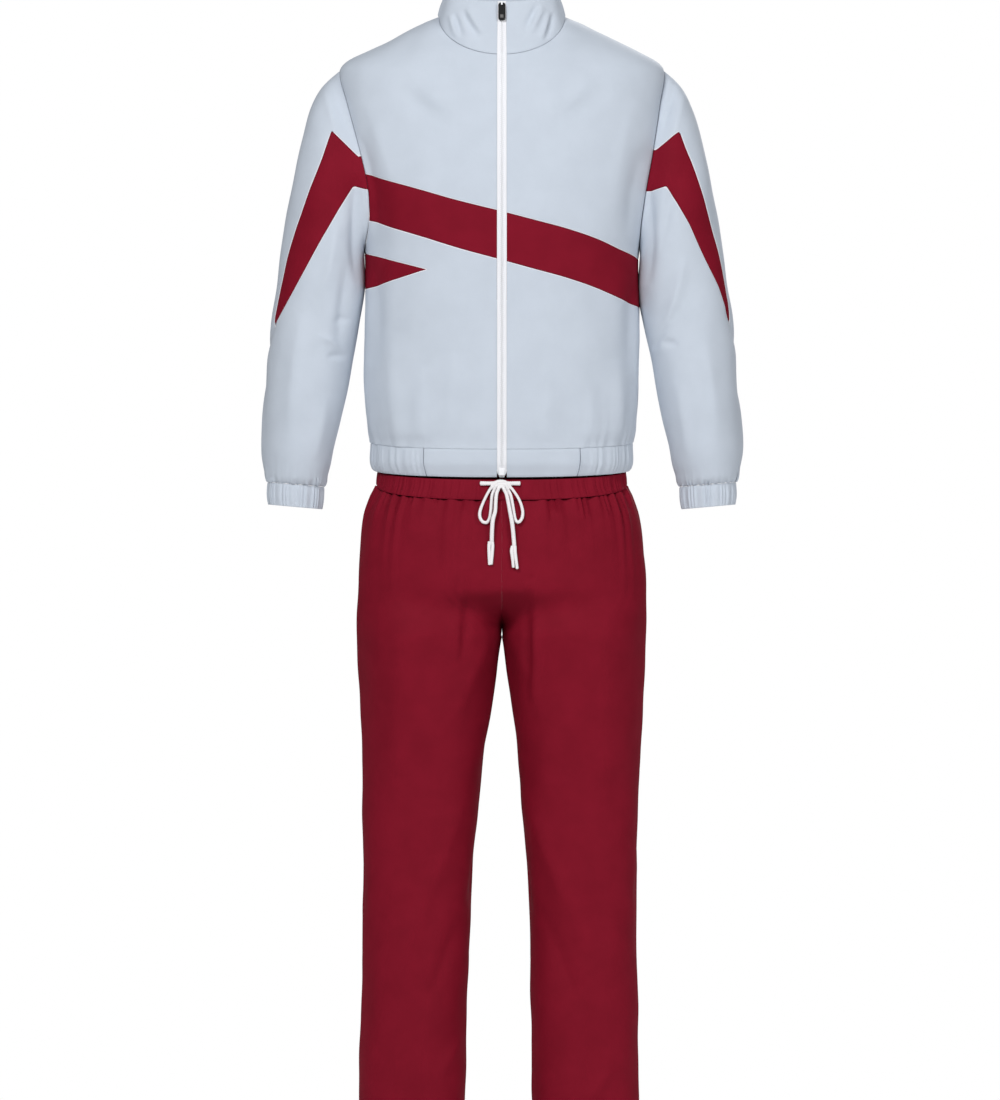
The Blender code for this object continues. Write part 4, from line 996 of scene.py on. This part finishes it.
def collar():
    first = float(neck_part(np.float64((TAPE_HALF + SEAM) / NECK_HALF)))
    u = stops(0.46, 2.5 * MM)
    u = np.interp(u, (0, 1), (first, 2 - first))
    v = mix(SEAM / COLLAR_TALL, 1.0, stops(COLLAR_TALL, 3 * MM))
    uu, vv = np.meshgrid(u, v)
    turn = neck_turn(uu)
    points, out = collar_spot(turn, vv), normal_of(collar_spot, turn, vv)
    side = ease((np.abs(points[..., 0]) - 0.008) / 0.02) + (points[..., 1] > 0)
    lift = (1.5 * folds(points, out, COLLAR_FOLDS) + 0.5 * swell(points)) * np.minimum(side, 1)
    below = (1 - vv) * COLLAR_TALL
    lift = lift * ease(vv / 0.15) * (0.4 + 0.6 * ease(below / 0.01)) + sewn(vv * COLLAR_TALL)
    round_off = WALL / 2 * (1 - np.sqrt(np.clip(1 - (1 - below / (WALL / 2)) ** 2, 0, 1)))
    round_off = np.where(below < WALL / 2, round_off, 0)
    outer = points + (lift - round_off)[..., None] * out
    inner = points + (lift - WALL + round_off)[..., None] * out
    shell("collar_cloth", outer, inner, "light_cloth", LIGHT, node="collar",
          marks={"rim": np.full(turn.shape, 0.05), "seam": vv * COLLAR_TALL})


# Sleeves.

SLEEVE_FOLDS = [Fold(*row) for row in (
    # wearer's left sleeve
    ("front", 258, -92, 250, -128, 240, -168, 6, -1.7, "fold"),
    ("front", 274, -108, 264, -148, 254, -186, 7, 1.5, "fold"),
    ("front", 218, -250, 226, -330, 218, -398, 8, -3.6, "fold"),
    ("front", 274, -356, 258, -430, 236, -502, 9, 3.2, "fold"),
    ("front", 262, -430, 246, -470, 226, -494, 7, -2.6, "fold"),
    ("front", 240, -484, 250, -482, 264, -490, 5, -1.8, "fold"),
    ("front", 300, -470, 318, -540, 320, -640, 13, 2.4, "fold"),
    ("front", 262, -540, 272, -590, 280, -660, 9, 1.8, "fold"),
    ("front", 262, -230, 250, -290, 236, -350, 9, -2.0, "fold"),
    ("front", 292, -150, 300, -210, 312, -280, 12, 1.4, "fold"),
    # wearer's right sleeve
    ("front", -244, -112, -236, -146, -226, -180, 6, -1.9, "fold"),
    ("front", -266, -104, -258, -140, -246, -176, 7, 1.5, "fold"),
    ("front", -216, -232, -224, -310, -216, -398, 9, -4.6, "fold"),
    ("front", -226, -452, -238, -446, -252, -456, 5, -1.6, "fold"),
    ("front", -232, -360, -238, -430, -246, -500, 9, -3.0, "fold"),
    ("front", -232, -506, -246, -500, -262, -508, 5, -2.2, "fold"),
    ("front", -240, -492, -254, -480, -276, -474, 6, 1.8, "fold"),
    ("front", -300, -440, -312, -520, -318, -620, 13, 2.4, "fold"),
    ("front", -262, -560, -268, -610, -282, -664, 9, 1.8, "fold"),
    ("front", -300, -130, -310, -200, -318, -290, 12, 1.4, "fold"),
    ("front", -246, -300, -252, -350, -270, -420, 9, 2.0, "fold"),
    ("back", -262, -300, -270, -400, -262, -500, 13, 3.0, "fold"),
    ("back", -246, -470, -276, -486, -320, -470, 9, -2.8, "fold"),
    ("back", -250, -510, -280, -530, -326, -520, 9, 2.4, "fold"),
    ("back", -290, -560, -300, -610, -306, -670, 11, 2.4, "fold"),
    ("back", 262, -300, 272, -400, 262, -500, 13, 3.0, "fold"),
    ("back", 248, -460, 280, -478, 322, -462, 9, -2.8, "fold"),
    ("back", 252, -505, 282, -524, 326, -512, 9, 2.2, "fold"),
    ("back", 292, -550, 300, -610, 304, -670, 11, 2.2, "fold"),
    ("left", 30, -260, 20, -400, 34, -520, 13, 2.4, "fold"),
    ("left", -38, -430, -16, -480, 24, -520, 8, -2.2, "fold"),
    ("left", 0, -560, -12, -610, -4, -676, 11, 2.2, "fold"),
    ("right", 30, -270, 18, -420, 32, -540, 13, 2.4, "fold"),
    ("right", -34, -450, -10, -490, 26, -516, 8, -2.2, "fold"),
    ("right", -4, -550, -16, -610, -8, -676, 11, 2.2, "fold"),
)]


def sleeve_lift(side, points, normals, angle, at):
    own = [row for row in SLEEVE_FOLDS
           if row.view in ("front", "back") and row.a0 * side.sign > 0 or row.view == side.name]
    lift = folds(points, normals, own) + swell(points)
    away = (LAST_RING - at) * 27 * MM
    short = gathers(angle / (2 * pi), away, CUFF_RIBS, 0.024, 1.7 * MM, 1.0 + side.sign)
    puff = 1.5 * MM * np.exp(-((away - 0.012) / 0.012) ** 2)
    return lift * ease(at / 0.7) * ease(away / 0.03 + 0.2) + short + puff * ease(away / 0.004)


def sleeves(side):
    form = sleeve_form(side)
    point_row, spike = SPIKE_ROWS[side.name], SPIKES[side.name]
    rows = np.linspace(0, TIP_ROW * point_row, 48)
    uppers = [crossing(side, at, spike["upper"]) for at in rows]
    lowers = [crossing(side, at, spike["lower"]) for at in rows]
    tip = (uppers[-1] + lowers[-1]) / 2
    rows = np.append(rows, point_row)
    uppers, lowers = np.append(uppers, tip), np.append(lowers, tip)
    gap = SEAM / 2 / 0.07

    def edge_line(angles):
        return thin_line(form(angles, rows))
    rims = [edge_line(uppers), edge_line(lowers)]
    plain = [thin_line(form(np.linspace(0, 2 * pi, 200), np.zeros(200)), 0.006)]
    plain.append(thin_line(form(np.full(60, pi), np.linspace(0, LAST_RING, 60)), 0.012))

    def piece(name, node, angle, at, look, slot):
        points, out = form(angle, at), side.sign * normal_of(form, angle, np.maximum(at, 0.02))
        rim = np.minimum(near_line(points, rims[0]), near_line(points, rims[1]))
        seam = np.minimum(rim, np.minimum(near_line(points, plain[0]), near_line(points, plain[1])))
        seam = np.minimum(seam, (LAST_RING - at) * 27 * MM)
        lift = sleeve_lift(side, points, out, angle, at) + sewn(seam)
        outer = points + lift[..., None] * out
        shell(name, outer, outer - THIN * out, slot, look, node=node,
              marks={"rim": rim, "seam": seam})
    upper_rows = stops(0.42, PITCH) * point_row
    lower_rows = point_row + stops(0.2, PITCH)[1:] * (LAST_RING - point_row)
    at = np.concatenate([upper_rows, lower_rows])
    first = np.where(at < point_row, np.interp(at, rows, lowers) + gap, tip)
    last = 2 * pi + np.where(at < point_row, np.interp(at, rows, uppers) - gap, tip)
    uu, rr = np.meshgrid(stops(0.43, PITCH), at)
    piece(f"{side.name}_sleeve_cloth", f"sleeve_{side.name}",
          mix(first[:, None], last[:, None], uu), rr, LIGHT, "light_cloth")
    at = upper_rows * TIP_ROW
    first, last = np.interp(at, rows, uppers) + gap, np.interp(at, rows, lowers) - gap
    uu, rr = np.meshgrid(stops(0.05, 3 * MM, (0.5, 1.1, 2.0)), at)
    piece(f"{side.name}_sleeve_insert_cloth", f"sleeve_spike_{side.name}",
          mix(first[:, None], np.maximum(first, last)[:, None], uu), rr, DARK, "dark_cloth")


def cuffs(side):
    def form(angle, at):
        return arm_ring(CUFF, side, at, angle)
    at = np.concatenate([np.linspace(0, 1.9, 16), 2 - 0.06 * (1 - np.linspace(0.2, 1, 5))])
    uu, rr = np.meshgrid(np.linspace(0, 1, 341)[:-1], at)
    angle = 2 * pi * uu
    points, out = form(angle, rr), side.sign * normal_of(form, angle, rr)
    down = (2 - rr) * 17 * MM
    ribs = gathers(uu, 0 * rr, CUFF_RIBS, 0.05, CUFF_RAISE, 1.0 + side.sign)
    level = 0.45 + 0.55 * np.abs(np.sin(pi * rr / 2)) ** 0.7
    lift = (ribs * 0.85 + 0.3 * MM) * level + sewn(rr * 17 * MM)
    round_off = np.where(down < WALL / 2, WALL / 2 - np.sqrt(np.clip(
        (WALL / 2) ** 2 - (WALL / 2 - down) ** 2, 0, 1)), 0)
    outer = points + (lift - round_off)[..., None] * out
    inner = points + (0.6 * lift - WALL + round_off)[..., None] * out
    shell(f"{side.name}_cuff_cloth", outer, inner, "light_cloth", LIGHT, node=f"cuff_{side.name}",
          wrap=True, marks={"rim": np.full(rr.shape, 0.05), "seam": rr * 17 * MM})


# Trousers.

LEG_FOLDS = [Fold(*row) for row in (
    ("front", -56, -830, -60, -900, -64, -965, 8, -2.4, "step"),
    ("front", 46, -830, 42, -930, 46, -1025, 8, 2.4, "step"),
    ("front", 36, -834, 40, -840, 48, -836, 5, -1.4, "fold"),
    ("front", -2, -905, -14, -908, -26, -906, 4, -1.8, "fold"),
    ("front", 2, -905, 8, -909, 14, -910, 4, -1.5, "fold"),
    ("front", -8, -920, -40, -960, -66, -1040, 12, 2.4, "fold"),
    ("front", 10, -920, 38, -970, 60, -1050, 12, 2.4, "fold"),
    ("front", -52, -1160, -92, -1260, -150, -1420, 14, 2.6, "fold"),
    ("front", -58, -1340, -88, -1410, -110, -1470, 11, -2.2, "fold"),
    ("front", -60, -1522, -80, -1560, -96, -1590, 9, 2.0, "fold"),
    ("front", 30, -1156, 70, -1260, 128, -1400, 14, 2.6, "fold"),
    ("front", 60, -1330, 92, -1420, 120, -1490, 12, -2.0, "fold"),
    ("front", 166, -1570, 146, -1600, 126, -1620, 9, 2.0, "fold"),
    ("front", -150, -860, -162, -1000, -156, -1180, 20, 1.8, "fold"),
    ("front", 150, -880, 160, -1020, 158, -1200, 20, 1.8, "fold"),
    ("front", -110, -1450, -120, -1560, -112, -1680, 16, 1.8, "fold"),
    ("front", 120, -1450, 130, -1560, 124, -1680, 16, 1.8, "fold"),
    ("back", -20, -760, -60, -860, -30, -960, 20, 2.6, "fold"),
    ("back", 20, -760, 60, -860, 30, -960, 20, 2.6, "fold"),
    ("back", -30, -940, -70, -965, -120, -960, 10, -3.0, "fold"),
    ("back", 30, -940, 74, -968, 124, -958, 10, -3.0, "fold"),
    ("back", -60, -1000, -110, -1080, -140, -1200, 16, 2.4, "fold"),
    ("back", 60, -1000, 104, -1090, 140, -1210, 16, 2.4, "fold"),
    ("back", -60, -1230, -110, -1250, -160, -1226, 11, -2.6, "fold"),
    ("back", 64, -1240, 112, -1256, 162, -1234, 11, -2.6, "fold"),
    ("back", -70, -1290, -116, -1330, -160, -1320, 12, 2.2, "fold"),
    ("back", 70, -1300, 116, -1336, 160, -1330, 12, 2.2, "fold"),
    ("back", -120, -1400, -128, -1540, -118, -1690, 18, 2.2, "fold"),
    ("back", 124, -1400, 132, -1540, 122, -1690, 18, 2.2, "fold"),
    ("left", -30, -800, -10, -960, -26, -1120, 20, 2.2, "fold"),
    ("left", 30, -1150, 0, -1260, -30, -1330, 13, -2.2, "fold"),
    ("left", -20, -1400, 6, -1540, -10, -1690, 18, 2.0, "fold"),
    ("right", -30, -800, -8, -960, -24, -1140, 20, 2.2, "fold"),
    ("right", 32, -1160, 0, -1270, -30, -1350, 13, -2.2, "fold"),
    ("right", -16, -1400, 8, -1540, -8, -1690, 18, 2.0, "fold"),
)]


def trousers(side, behind):
    form = trousers_form(side)
    first, last = (QUARTER, pi) if behind else (0.0, QUARTER)
    uu, vv = np.meshgrid(stops(0.25, PITCH), stops(1.0, 5 * MM))
    turn = mix(first + 2e-5, last - 2e-5, uu)
    top = dip(turn, WAIST_SEAM, WAIST_SEAM_DIP) - 2 * SEAM
    height = mix(LEG_HEM, top, vv)
    points, out = form(turn, height), side.sign * normal_of(form, turn, height)
    straight = out * np.array((0, 1, 1))
    near = np.clip(np.minimum(turn, pi - turn) / FORK_SPREAD, 0, 1)[..., None]
    out = np.where((height > FORK)[..., None], unit(mix(straight, out, near)), out)
    away = top - height
    middle = np.where(height > FORK, np.abs(points[..., 0]), 1.0)
    side_gap = np.abs(points[..., 1])
    inner = np.where((height < FORK) & (np.abs(turn - QUARTER) > 1.0), np.abs(points[..., 1]), 1.0)
    outer_side = np.where(np.abs(turn - QUARTER) < 0.5, side_gap, 1.0)
    seam = np.minimum(np.minimum(middle, away), np.minimum(inner, outer_side))
    calm = ease(np.minimum(np.minimum(middle, inner), outer_side) / 0.012)
    lift = (folds(points, out, LEG_FOLDS) + 1.2 * swell(points)) * (0.25 + 0.75 * calm)
    lift = lift * ease(away / 0.05 + 0.1) * ease(middle / 0.01 + 0.2)
    short = gathers(side.sign * turn / (2 * pi), away, WAIST_RIBS, 0.04, 2.5 * MM, 5.0)
    deeper = gathers(side.sign * turn / (2 * pi), away, WAIST_RIBS * 0.42, 0.085, 2.4 * MM, 9.0)
    lift = lift + (short + deeper - CASING_PULL * np.exp(-away / 0.025)) * ease(middle / 0.008)
    lift = lift + sewn(seam)
    hem = height - LEG_HEM
    lift = lift - 0.5 * MM * np.exp(-((hem - 0.022) / 0.0012) ** 2)
    outer = points + lift[..., None] * out
    where = "back" if behind else "front"
    shell(f"{side.name}_trouser_{where}_cloth", outer, outer - THIN * out, "dark_cloth", DARK,
          node=f"trouser_{where}_{side.name}",
          marks={"rim": np.full(turn.shape, 0.05), "seam": seam})


hem_and_waist()
collar()
for side in SIDES:
    sleeves(side)
    cuffs(side)
    trousers(side, False)
    trousers(side, True)


# Zip: white tape with moulded teeth, a box at its foot and a black pull tab.

TOOTH_PITCH, TOOTH_TALL = 2.9 * MM, 0.7 * MM


def zip_line(across, height):
    """Point on the closed front, on the body and then up the collar."""
    across, height = np.broadcast_arrays(np.asarray(across, float), np.asarray(height, float))
    low = jacket(turn_at(JACKET, across, np.minimum(height, NECK_FRONT)),
                 np.minimum(height, NECK_FRONT))
    part = np.clip((height - NECK_FRONT) / (COLLAR_TOP_FRONT - NECK_FRONT), 0, 1)
    high = collar_spot(np.arcsin(across / NECK_HALF), part)
    return np.where((height <= NECK_FRONT)[..., None], low, high)


def zip_tape(side):
    foot, top = HEM_FOOT - HEM_DIP, COLLAR_TOP_FRONT
    uu, vv = np.meshgrid(np.linspace(0, 1, 9), np.linspace(0, 1, 230))
    height = mix(foot, top, vv)
    width = mix(3.4 * MM, TAPE_HALF, ease((height - foot) / (8 * MM)))
    across = side.sign * mix(TEETH_GAP / 2, width, uu)
    points, out = zip_line(across, height), unit(normal_of(zip_line, across, height))
    ridge = 0.25 * MM * np.exp(-((np.abs(across) - 4.2 * MM) / (0.5 * MM)) ** 2)
    outer = points + (ridge - 0.2 * MM)[..., None] * out
    return shell(f"{side.name}_zip_tape", outer, outer - WALL * 0.5 * out, "tape", TAPE,
                 node=f"zip_tape_{side.name}")


def solid(name, points, faces, look, body="root", smooth=False):
    mesh = bpy.data.meshes.new(name)
    mesh.from_pydata(np.asarray(points).tolist(), [], [list(face) for face in faces])
    if smooth:
        mesh.shade_smooth()
        mesh.set_sharp_from_angle(angle=0.8)
    mesh.materials.append(look)
    piece = bpy.data.objects.new(name, mesh)
    bpy.context.scene.collection.objects.link(piece)
    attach(piece, body)
    return piece


BLOCK = np.array([(x, y, z) for x in (-1, 1) for y in (-1, 1) for z in (-1, 1)], float)
BLOCK_FACES = ((0, 1, 3, 2), (4, 6, 7, 5), (0, 4, 5, 1), (2, 3, 7, 6), (0, 2, 6, 4), (1, 5, 7, 3))


def zip_teeth():
    """Moulded teeth, in turn from each side, each wider where it grips the next."""
    points, faces = [], []
    heights = np.arange(-668 * MM, 15 * MM, TOOTH_PITCH / 2)
    for number, height in enumerate(heights):
        sign = 1 if number % 2 else -1
        here, above = zip_line(0.0, height), zip_line(0.0, height + MM)
        up = unit(above - here)
        out = np.cross(np.array((1.0, 0, 0)), up)
        for near, far, tall, lift in ((-0.9, 0.5, 1.15, 1.0), (0.4, 3.0, 0.85, 0.8)):
            middle, half = sign * (near + far) / 2 * MM, (far - near) / 2 * MM
            spots = BLOCK * np.array((half, TOOTH_TALL * lift / 2, tall * MM / 2))
            spots[:, (0, 2)] *= np.where(spots[:, 1:2] < 0, 1.0, 0.8)
            base = len(points)
            points += list(here + (spots[:, :1] + middle) * np.array((1.0, 0, 0))
                           + (spots[:, 1:2] + TOOTH_TALL * lift / 2) * out + spots[:, 2:] * up)
            faces += [tuple(corner + base for corner in face) for face in BLOCK_FACES]
    return solid("zip_teeth", points, faces, TEETH)


def rounded_block(name, place, size, look, bevel, body="root", lean=0.0):
    """A block with soft edges, its middle at a place, turned about the X axis."""
    bm = bmesh.new()
    bmesh.ops.create_cube(bm, size=1)
    for vert in bm.verts:
        vert.co = Vector(a * b for a, b in zip(vert.co, size))
    bmesh.ops.bevel(bm, geom=bm.edges[:], offset=bevel, affect="EDGES", segments=3, profile=0.5,
                    material=-1)
    c, s = np.cos(lean), np.sin(lean)
    spots = np.array([vert.co for vert in bm.verts])
    spots = np.stack([spots[:, 0], c * spots[:, 1] - s * spots[:, 2],
                      s * spots[:, 1] + c * spots[:, 2]], -1) + np.array(place)
    faces = [[vert.index for vert in face.verts] for face in bm.faces]
    bm.free()
    return solid(name, spots, faces, look, body, smooth=True)


def zip_hardware():
    frame["nodes"]["zip_pull_tab"].data.materials[0] = BLACK
    frame["nodes"]["zip_slider"].data.materials[0] = ENAMEL
    foot = zip_line(0.0, -678 * MM)
    rounded_block("zip_box", foot - np.array((0, 1.2 * MM, 0)), (8.4 * MM, 2.4 * MM, 11 * MM),
                  ENAMEL, 0.8 * MM)
    hinge = [joint for joint in frame["joints"] if joint["name"] == "pull_tab_hinge"][0]
    spot = np.array(hinge["pos_m"])
    down = unit(zip_line(0.0, 0.0) - zip_line(0.0, 20 * MM))
    front = np.cross(down, np.array((1.0, 0, 0)))
    front = front * (-1 if front[1] > 0 else 1)
    lean = float(np.arcsin(down[1]))
    # A thin lighter grey patch on the black pull tab: a painted highlight, not a part of the tab.
    rounded_block("pull_tab_painted_highlight", spot + down * 19.7 * MM + front * 0.45 * MM,
                  (4.8 * MM, 0.5 * MM, 5.0 * MM), TAB_PAINTED_HIGHLIGHT, 0.15 * MM, "pull_tab", lean)
    rounded_block("pull_tab_eye", spot + down * 2.4 * MM, (4.4 * MM, 1.3 * MM, 4.4 * MM),
                  BLACK, 0.3 * MM, "pull_tab", lean)


# Colour of the painted highlight on the black pull tab.
TAB_PAINTED_HIGHLIGHT = principled("pull tab painted highlight", (0.10, 0.097, 0.094), 0.5)[0]
for side in SIDES:
    zip_tape(side)
zip_teeth()
zip_hardware()


# Drawstring, in mm: across, height, how far its middle stands off the trousers, half width.

STRINGS = {
    "right": ((-32.9, -695.5, 3.6, 3.2), (-29, -695.5, 3.7, 3.2), (-24, -695.5, 4.0, 3.1),
              (-17.2, -695.5, 5.0, 2.9), (-9, -694.5, 5.6, 2.3), (-5, -696.5, 5.6, 2.1),
              (-10, -699.5, 5.6, 2.1), (-16.2, -702.6, 5.0, 2.2), (-20.8, -709.5, 4.2, 2.1),
              (-25.2, -718, 3.5, 2.1), (-29.6, -728, 3.1, 2.2), (-32.8, -738, 3.1, 2.4),
              (-32.6, -746.5, 3.1, 2.4), (-28.5, -752.8, 3.1, 2.4), (-22.4, -753.6, 3.1, 2.4),
              (-18.4, -747.5, 3.1, 2.4), (-16.6, -737, 3.1, 2.4), (-15.6, -725, 3.1, 2.4),
              (-14.4, -713, 3.6, 2.5), (-10.8, -703.8, 4.4, 2.4), (-7, -697, 4.6, 2.0),
              (-3, -696, 5.8, 2.0), (-5.2, -703.8, 6.6, 2.4), (-8.0, -711, 8.0, 2.7),
              (-9.2, -724, 8.6, 2.7), (-10, -737, 9.0, 2.8), (-13.4, -750, 9.0, 3.1),
              (-14.6, -764, 7.6, 3.1), (-15.2, -783, 4.6, 3.1)),
    "left": ((27.9, -695.5, 3.6, 3.2), (24, -695.5, 3.7, 3.2), (19, -695.5, 4.0, 3.1),
             (12.4, -695.5, 5.0, 2.9), (4, -694.5, 5.6, 2.3), (0, -696.5, 5.6, 2.1),
             (7, -699.5, 5.6, 2.1), (13.9, -702.6, 5.0, 2.2), (20.2, -710.5, 4.2, 2.1),
             (25.6, -719.5, 3.5, 2.1), (29.6, -730, 3.1, 2.2), (31.2, -740.5, 3.1, 2.4),
             (29.2, -749, 3.1, 2.4), (24.4, -753.4, 3.1, 2.4), (20.2, -749.5, 3.1, 2.4),
             (18, -739.5, 3.1, 2.4), (15.8, -726, 3.1, 2.4), (12.9, -713, 3.8, 2.5),
             (8.3, -703.8, 4.4, 2.4), (5, -697, 4.6, 2.0), (0, -696, 5.8, 2.0),
             (2.8, -703.8, 6.6, 2.4), (6.8, -711.5, 8.4, 2.7), (9.6, -724, 9.0, 2.8),
             (12, -737, 9.0, 2.9), (14.6, -750.5, 9.0, 3.1), (16.4, -764, 7.4, 3.1),
             (18.6, -789.5, 4.7, 3.1))}
ENDS = {
    "right": (((-18.4, -782, 4.6, 2.6), (-19.2, -790, 4.4, 2.6), (-19.0, -804, 4.2, 2.4),
               (-18.4, -817.5, 4.0, 2.1)),
              ((-14.4, -782, 4.8, 2.5), (-13.8, -790, 4.8, 2.5), (-14.8, -804, 4.6, 2.4),
               (-15.8, -817.0, 4.4, 2.0))),
    "left": (((16.0, -788.5, 4.6, 2.4), (14.6, -796, 4.4, 2.6), (16.0, -808, 4.2, 2.4),
              (17.2, -821.5, 4.0, 2.1)),
             ((19.4, -788.5, 4.8, 2.5), (19.8, -798, 4.8, 2.5), (21.2, -810, 4.6, 2.4),
              (23.0, -823.5, 4.4, 2.2)))}
KNOT = (((-16.2, -703.4, 5.0, 2.3), (-13.2, -697.6, 6.4, 2.6), (-8, -693.8, 7.4, 2.8),
         (-1.6, -692.6, 7.8, 2.9), (5, -693.8, 7.4, 2.8), (10.4, -697.6, 6.4, 2.6),
         (13.9, -703.4, 5.0, 2.3)),
        ((-11.2, -705.4, 4.8, 2.4), (-9.2, -699.8, 6.8, 2.6), (-5.4, -697.4, 8.0, 2.7),
         (-1.2, -696.8, 8.2, 2.7), (3.2, -697.4, 8.0, 2.7), (6.8, -699.8, 6.8, 2.6),
         (8.9, -705.4, 4.8, 2.4)),
        ((-6.0, -707, 7.2, 2.5), (-5.2, -703, 7.8, 2.6), (-3.4, -700.8, 8.0, 2.6),
         (-1.2, -700.2, 8.0, 2.6), (1.0, -700.8, 8.0, 2.6), (2.8, -703, 7.8, 2.6),
         (4.2, -707, 7.4, 2.5)))


def on_trousers(rows):
    rows = np.array(rows, float) * MM
    spots = hips(turn_at(HIPS, rows[:, 0], rows[:, 1]), rows[:, 1])
    spots[:, 1] -= rows[:, 2]
    return np.column_stack([spots, rows[:, 3]])


def smooth_route(rows, gap):
    """Points on a smooth curve through a route's rows, about so far apart."""
    found = []
    for index in range(len(rows) - 1):
        before, after = rows[max(index - 1, 0)], rows[min(index + 2, len(rows) - 1)]
        start, end = rows[index], rows[index + 1]
        m0, m1 = (end - before) / 2, (after - start) / 2
        steps = max(1, round(float(np.linalg.norm((end - start)[:3])) / gap))
        for step in range(steps):
            t = step / steps
            found.append(start * (2 * t ** 3 - 3 * t * t + 1) + m0 * (t ** 3 - 2 * t * t + t)
                         + end * (3 * t * t - 2 * t ** 3) + m1 * (t ** 3 - t * t))
    return np.array(found + [rows[-1]])


def braid(rows, sides=16, gap=0.6 * MM, flat=0.82):
    """Points and faces of a braided cord along a route, a little flattened against the cloth."""
    route = smooth_route(on_trousers(rows), gap)
    line, half = route[:, :3], route[:, 3]
    along = unit(np.gradient(line, axis=0))
    across = unit(np.cross(along, np.array((0, 1.0, 0))))
    out = np.cross(across, along)
    run = np.concatenate([[0], np.cumsum(np.linalg.norm(np.diff(line, axis=0), axis=-1))])
    angle = 2 * pi * np.arange(sides) / sides
    aa, rr = np.meshgrid(angle, run)
    twist = rr / (3.4 * MM) * 2 * pi
    strand = 0.5 * (np.abs(np.sin((4 * aa + twist) / 2)) + np.abs(np.sin((4 * aa - twist) / 2)))
    radius = half[:, None] * (0.9 + 0.14 * strand)
    end = np.minimum(rr, run[-1] - rr) / (half[:, None] * 0.35)
    radius = radius * np.sqrt(np.clip(1 - (1 - np.clip(end, 0, 1)) ** 2, 0.02, 1))
    spots = (line[:, None] + radius[..., None] * (np.cos(aa)[..., None] * across[:, None]
                                                  + flat * np.sin(aa)[..., None] * out[:, None]))
    index = np.arange(len(line) * sides).reshape(len(line), sides)
    index = np.hstack([index, index[:, :1]])
    faces = np.stack([index[:-1, :-1], index[:-1, 1:], index[1:, 1:], index[1:, :-1]], -1)
    faces = faces.reshape(-1, 4).tolist() + [list(range(sides))[::-1]]
    faces.append([int(spot) for spot in index[-1, :-1]])
    return spots.reshape(-1, 3), faces, line


def braids(name, routes, nodes):
    points, faces = [], []
    for rows in routes:
        spots, more, _ = braid(rows)
        faces += [[corner + len(points) for corner in face] for face in more]
        points += list(spots)
    piece = solid(name, points, faces, CORD, smooth=True)
    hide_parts(*nodes)
    return piece


def drawstring():
    knot = braids("bow_knot", KNOT, ["drawstring_knot"])
    for side in SIDES:
        end = braids(f"{side.name}_string_end", ENDS[side.name], [f"drawstring_end_{side.name}"])
        spots, faces, line = braid(STRINGS[side.name])
        cord = solid(f"{side.name}_drawstring", spots, faces, CORD, smooth=True)
        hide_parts(*[f"drawstring_{part}_{side.name}" for part in ("lead", "loop", "tail")])
        long = float(np.linalg.norm(np.diff(line, axis=0), axis=-1).sum())
        tuple(float(c) for c in line[0])
        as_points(line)


CORD = principled("white cord", (0.80, 0.78, 0.79), 0.8, Sheen_Weight=0.1)[0]
drawstring()


# Stage and light.

def area_light(name, place, aim, size, power):
    lamp = bpy.data.lights.new(name, "AREA")
    lamp.shape, lamp.size, lamp.energy = "SQUARE", size, power
    made = bpy.data.objects.new(name, lamp)
    made.location = place
    made.rotation_euler = (Vector(aim) - Vector(place)).to_track_quat("-Z", "Y").to_euler()
    bpy.context.scene.collection.objects.link(made)


def studio():
    """White all round, softer as light than as a background, with lamps from the front."""
    world = bpy.data.worlds.new("studio")
    world.use_nodes = True
    tree = world.node_tree
    seen = tree.nodes["Background"]
    seen.inputs["Color"].default_value = (1, 1, 1, 1)
    lit = tree.nodes.new("ShaderNodeBackground")
    lit.inputs["Color"].default_value = (0.97, 0.98, 1, 1)
    lit.inputs["Strength"].default_value = AMBIENT
    share, path = tree.nodes.new("ShaderNodeMixShader"), tree.nodes.new("ShaderNodeLightPath")
    tree.links.new(path.outputs["Is Camera Ray"], share.inputs[0])
    tree.links.new(lit.outputs[0], share.inputs[1])
    tree.links.new(seen.outputs[0], share.inputs[2])
    tree.links.new(share.outputs[0], tree.nodes["World Output"].inputs["Surface"])
    bpy.context.scene.world = world
    area_light("key", (-1.5, -3.6, 2.0), (0, 0, -0.8), 1.4, KEY)
    area_light("fill", (2.6, -3.5, 0.8), (0, 0, -0.9), 1.6, FILL)
    area_light("back", (1.5, 4.2, 1.8), (0, 0, -0.8), 2.0, KEY)
    bpy.ops.mesh.primitive_plane_add(size=5, location=(0, 0, FLOOR))
    floor = bpy.context.object
    floor.name = "floor"
    floor.data.materials.append(principled("pale floor", (0.9, 0.9, 0.9), 0.8)[0])


AMBIENT, KEY, FILL, FLOOR = 0.25, 132, 70, -1.72
studio()
bpy.context.scene.view_settings.view_transform = "Standard"
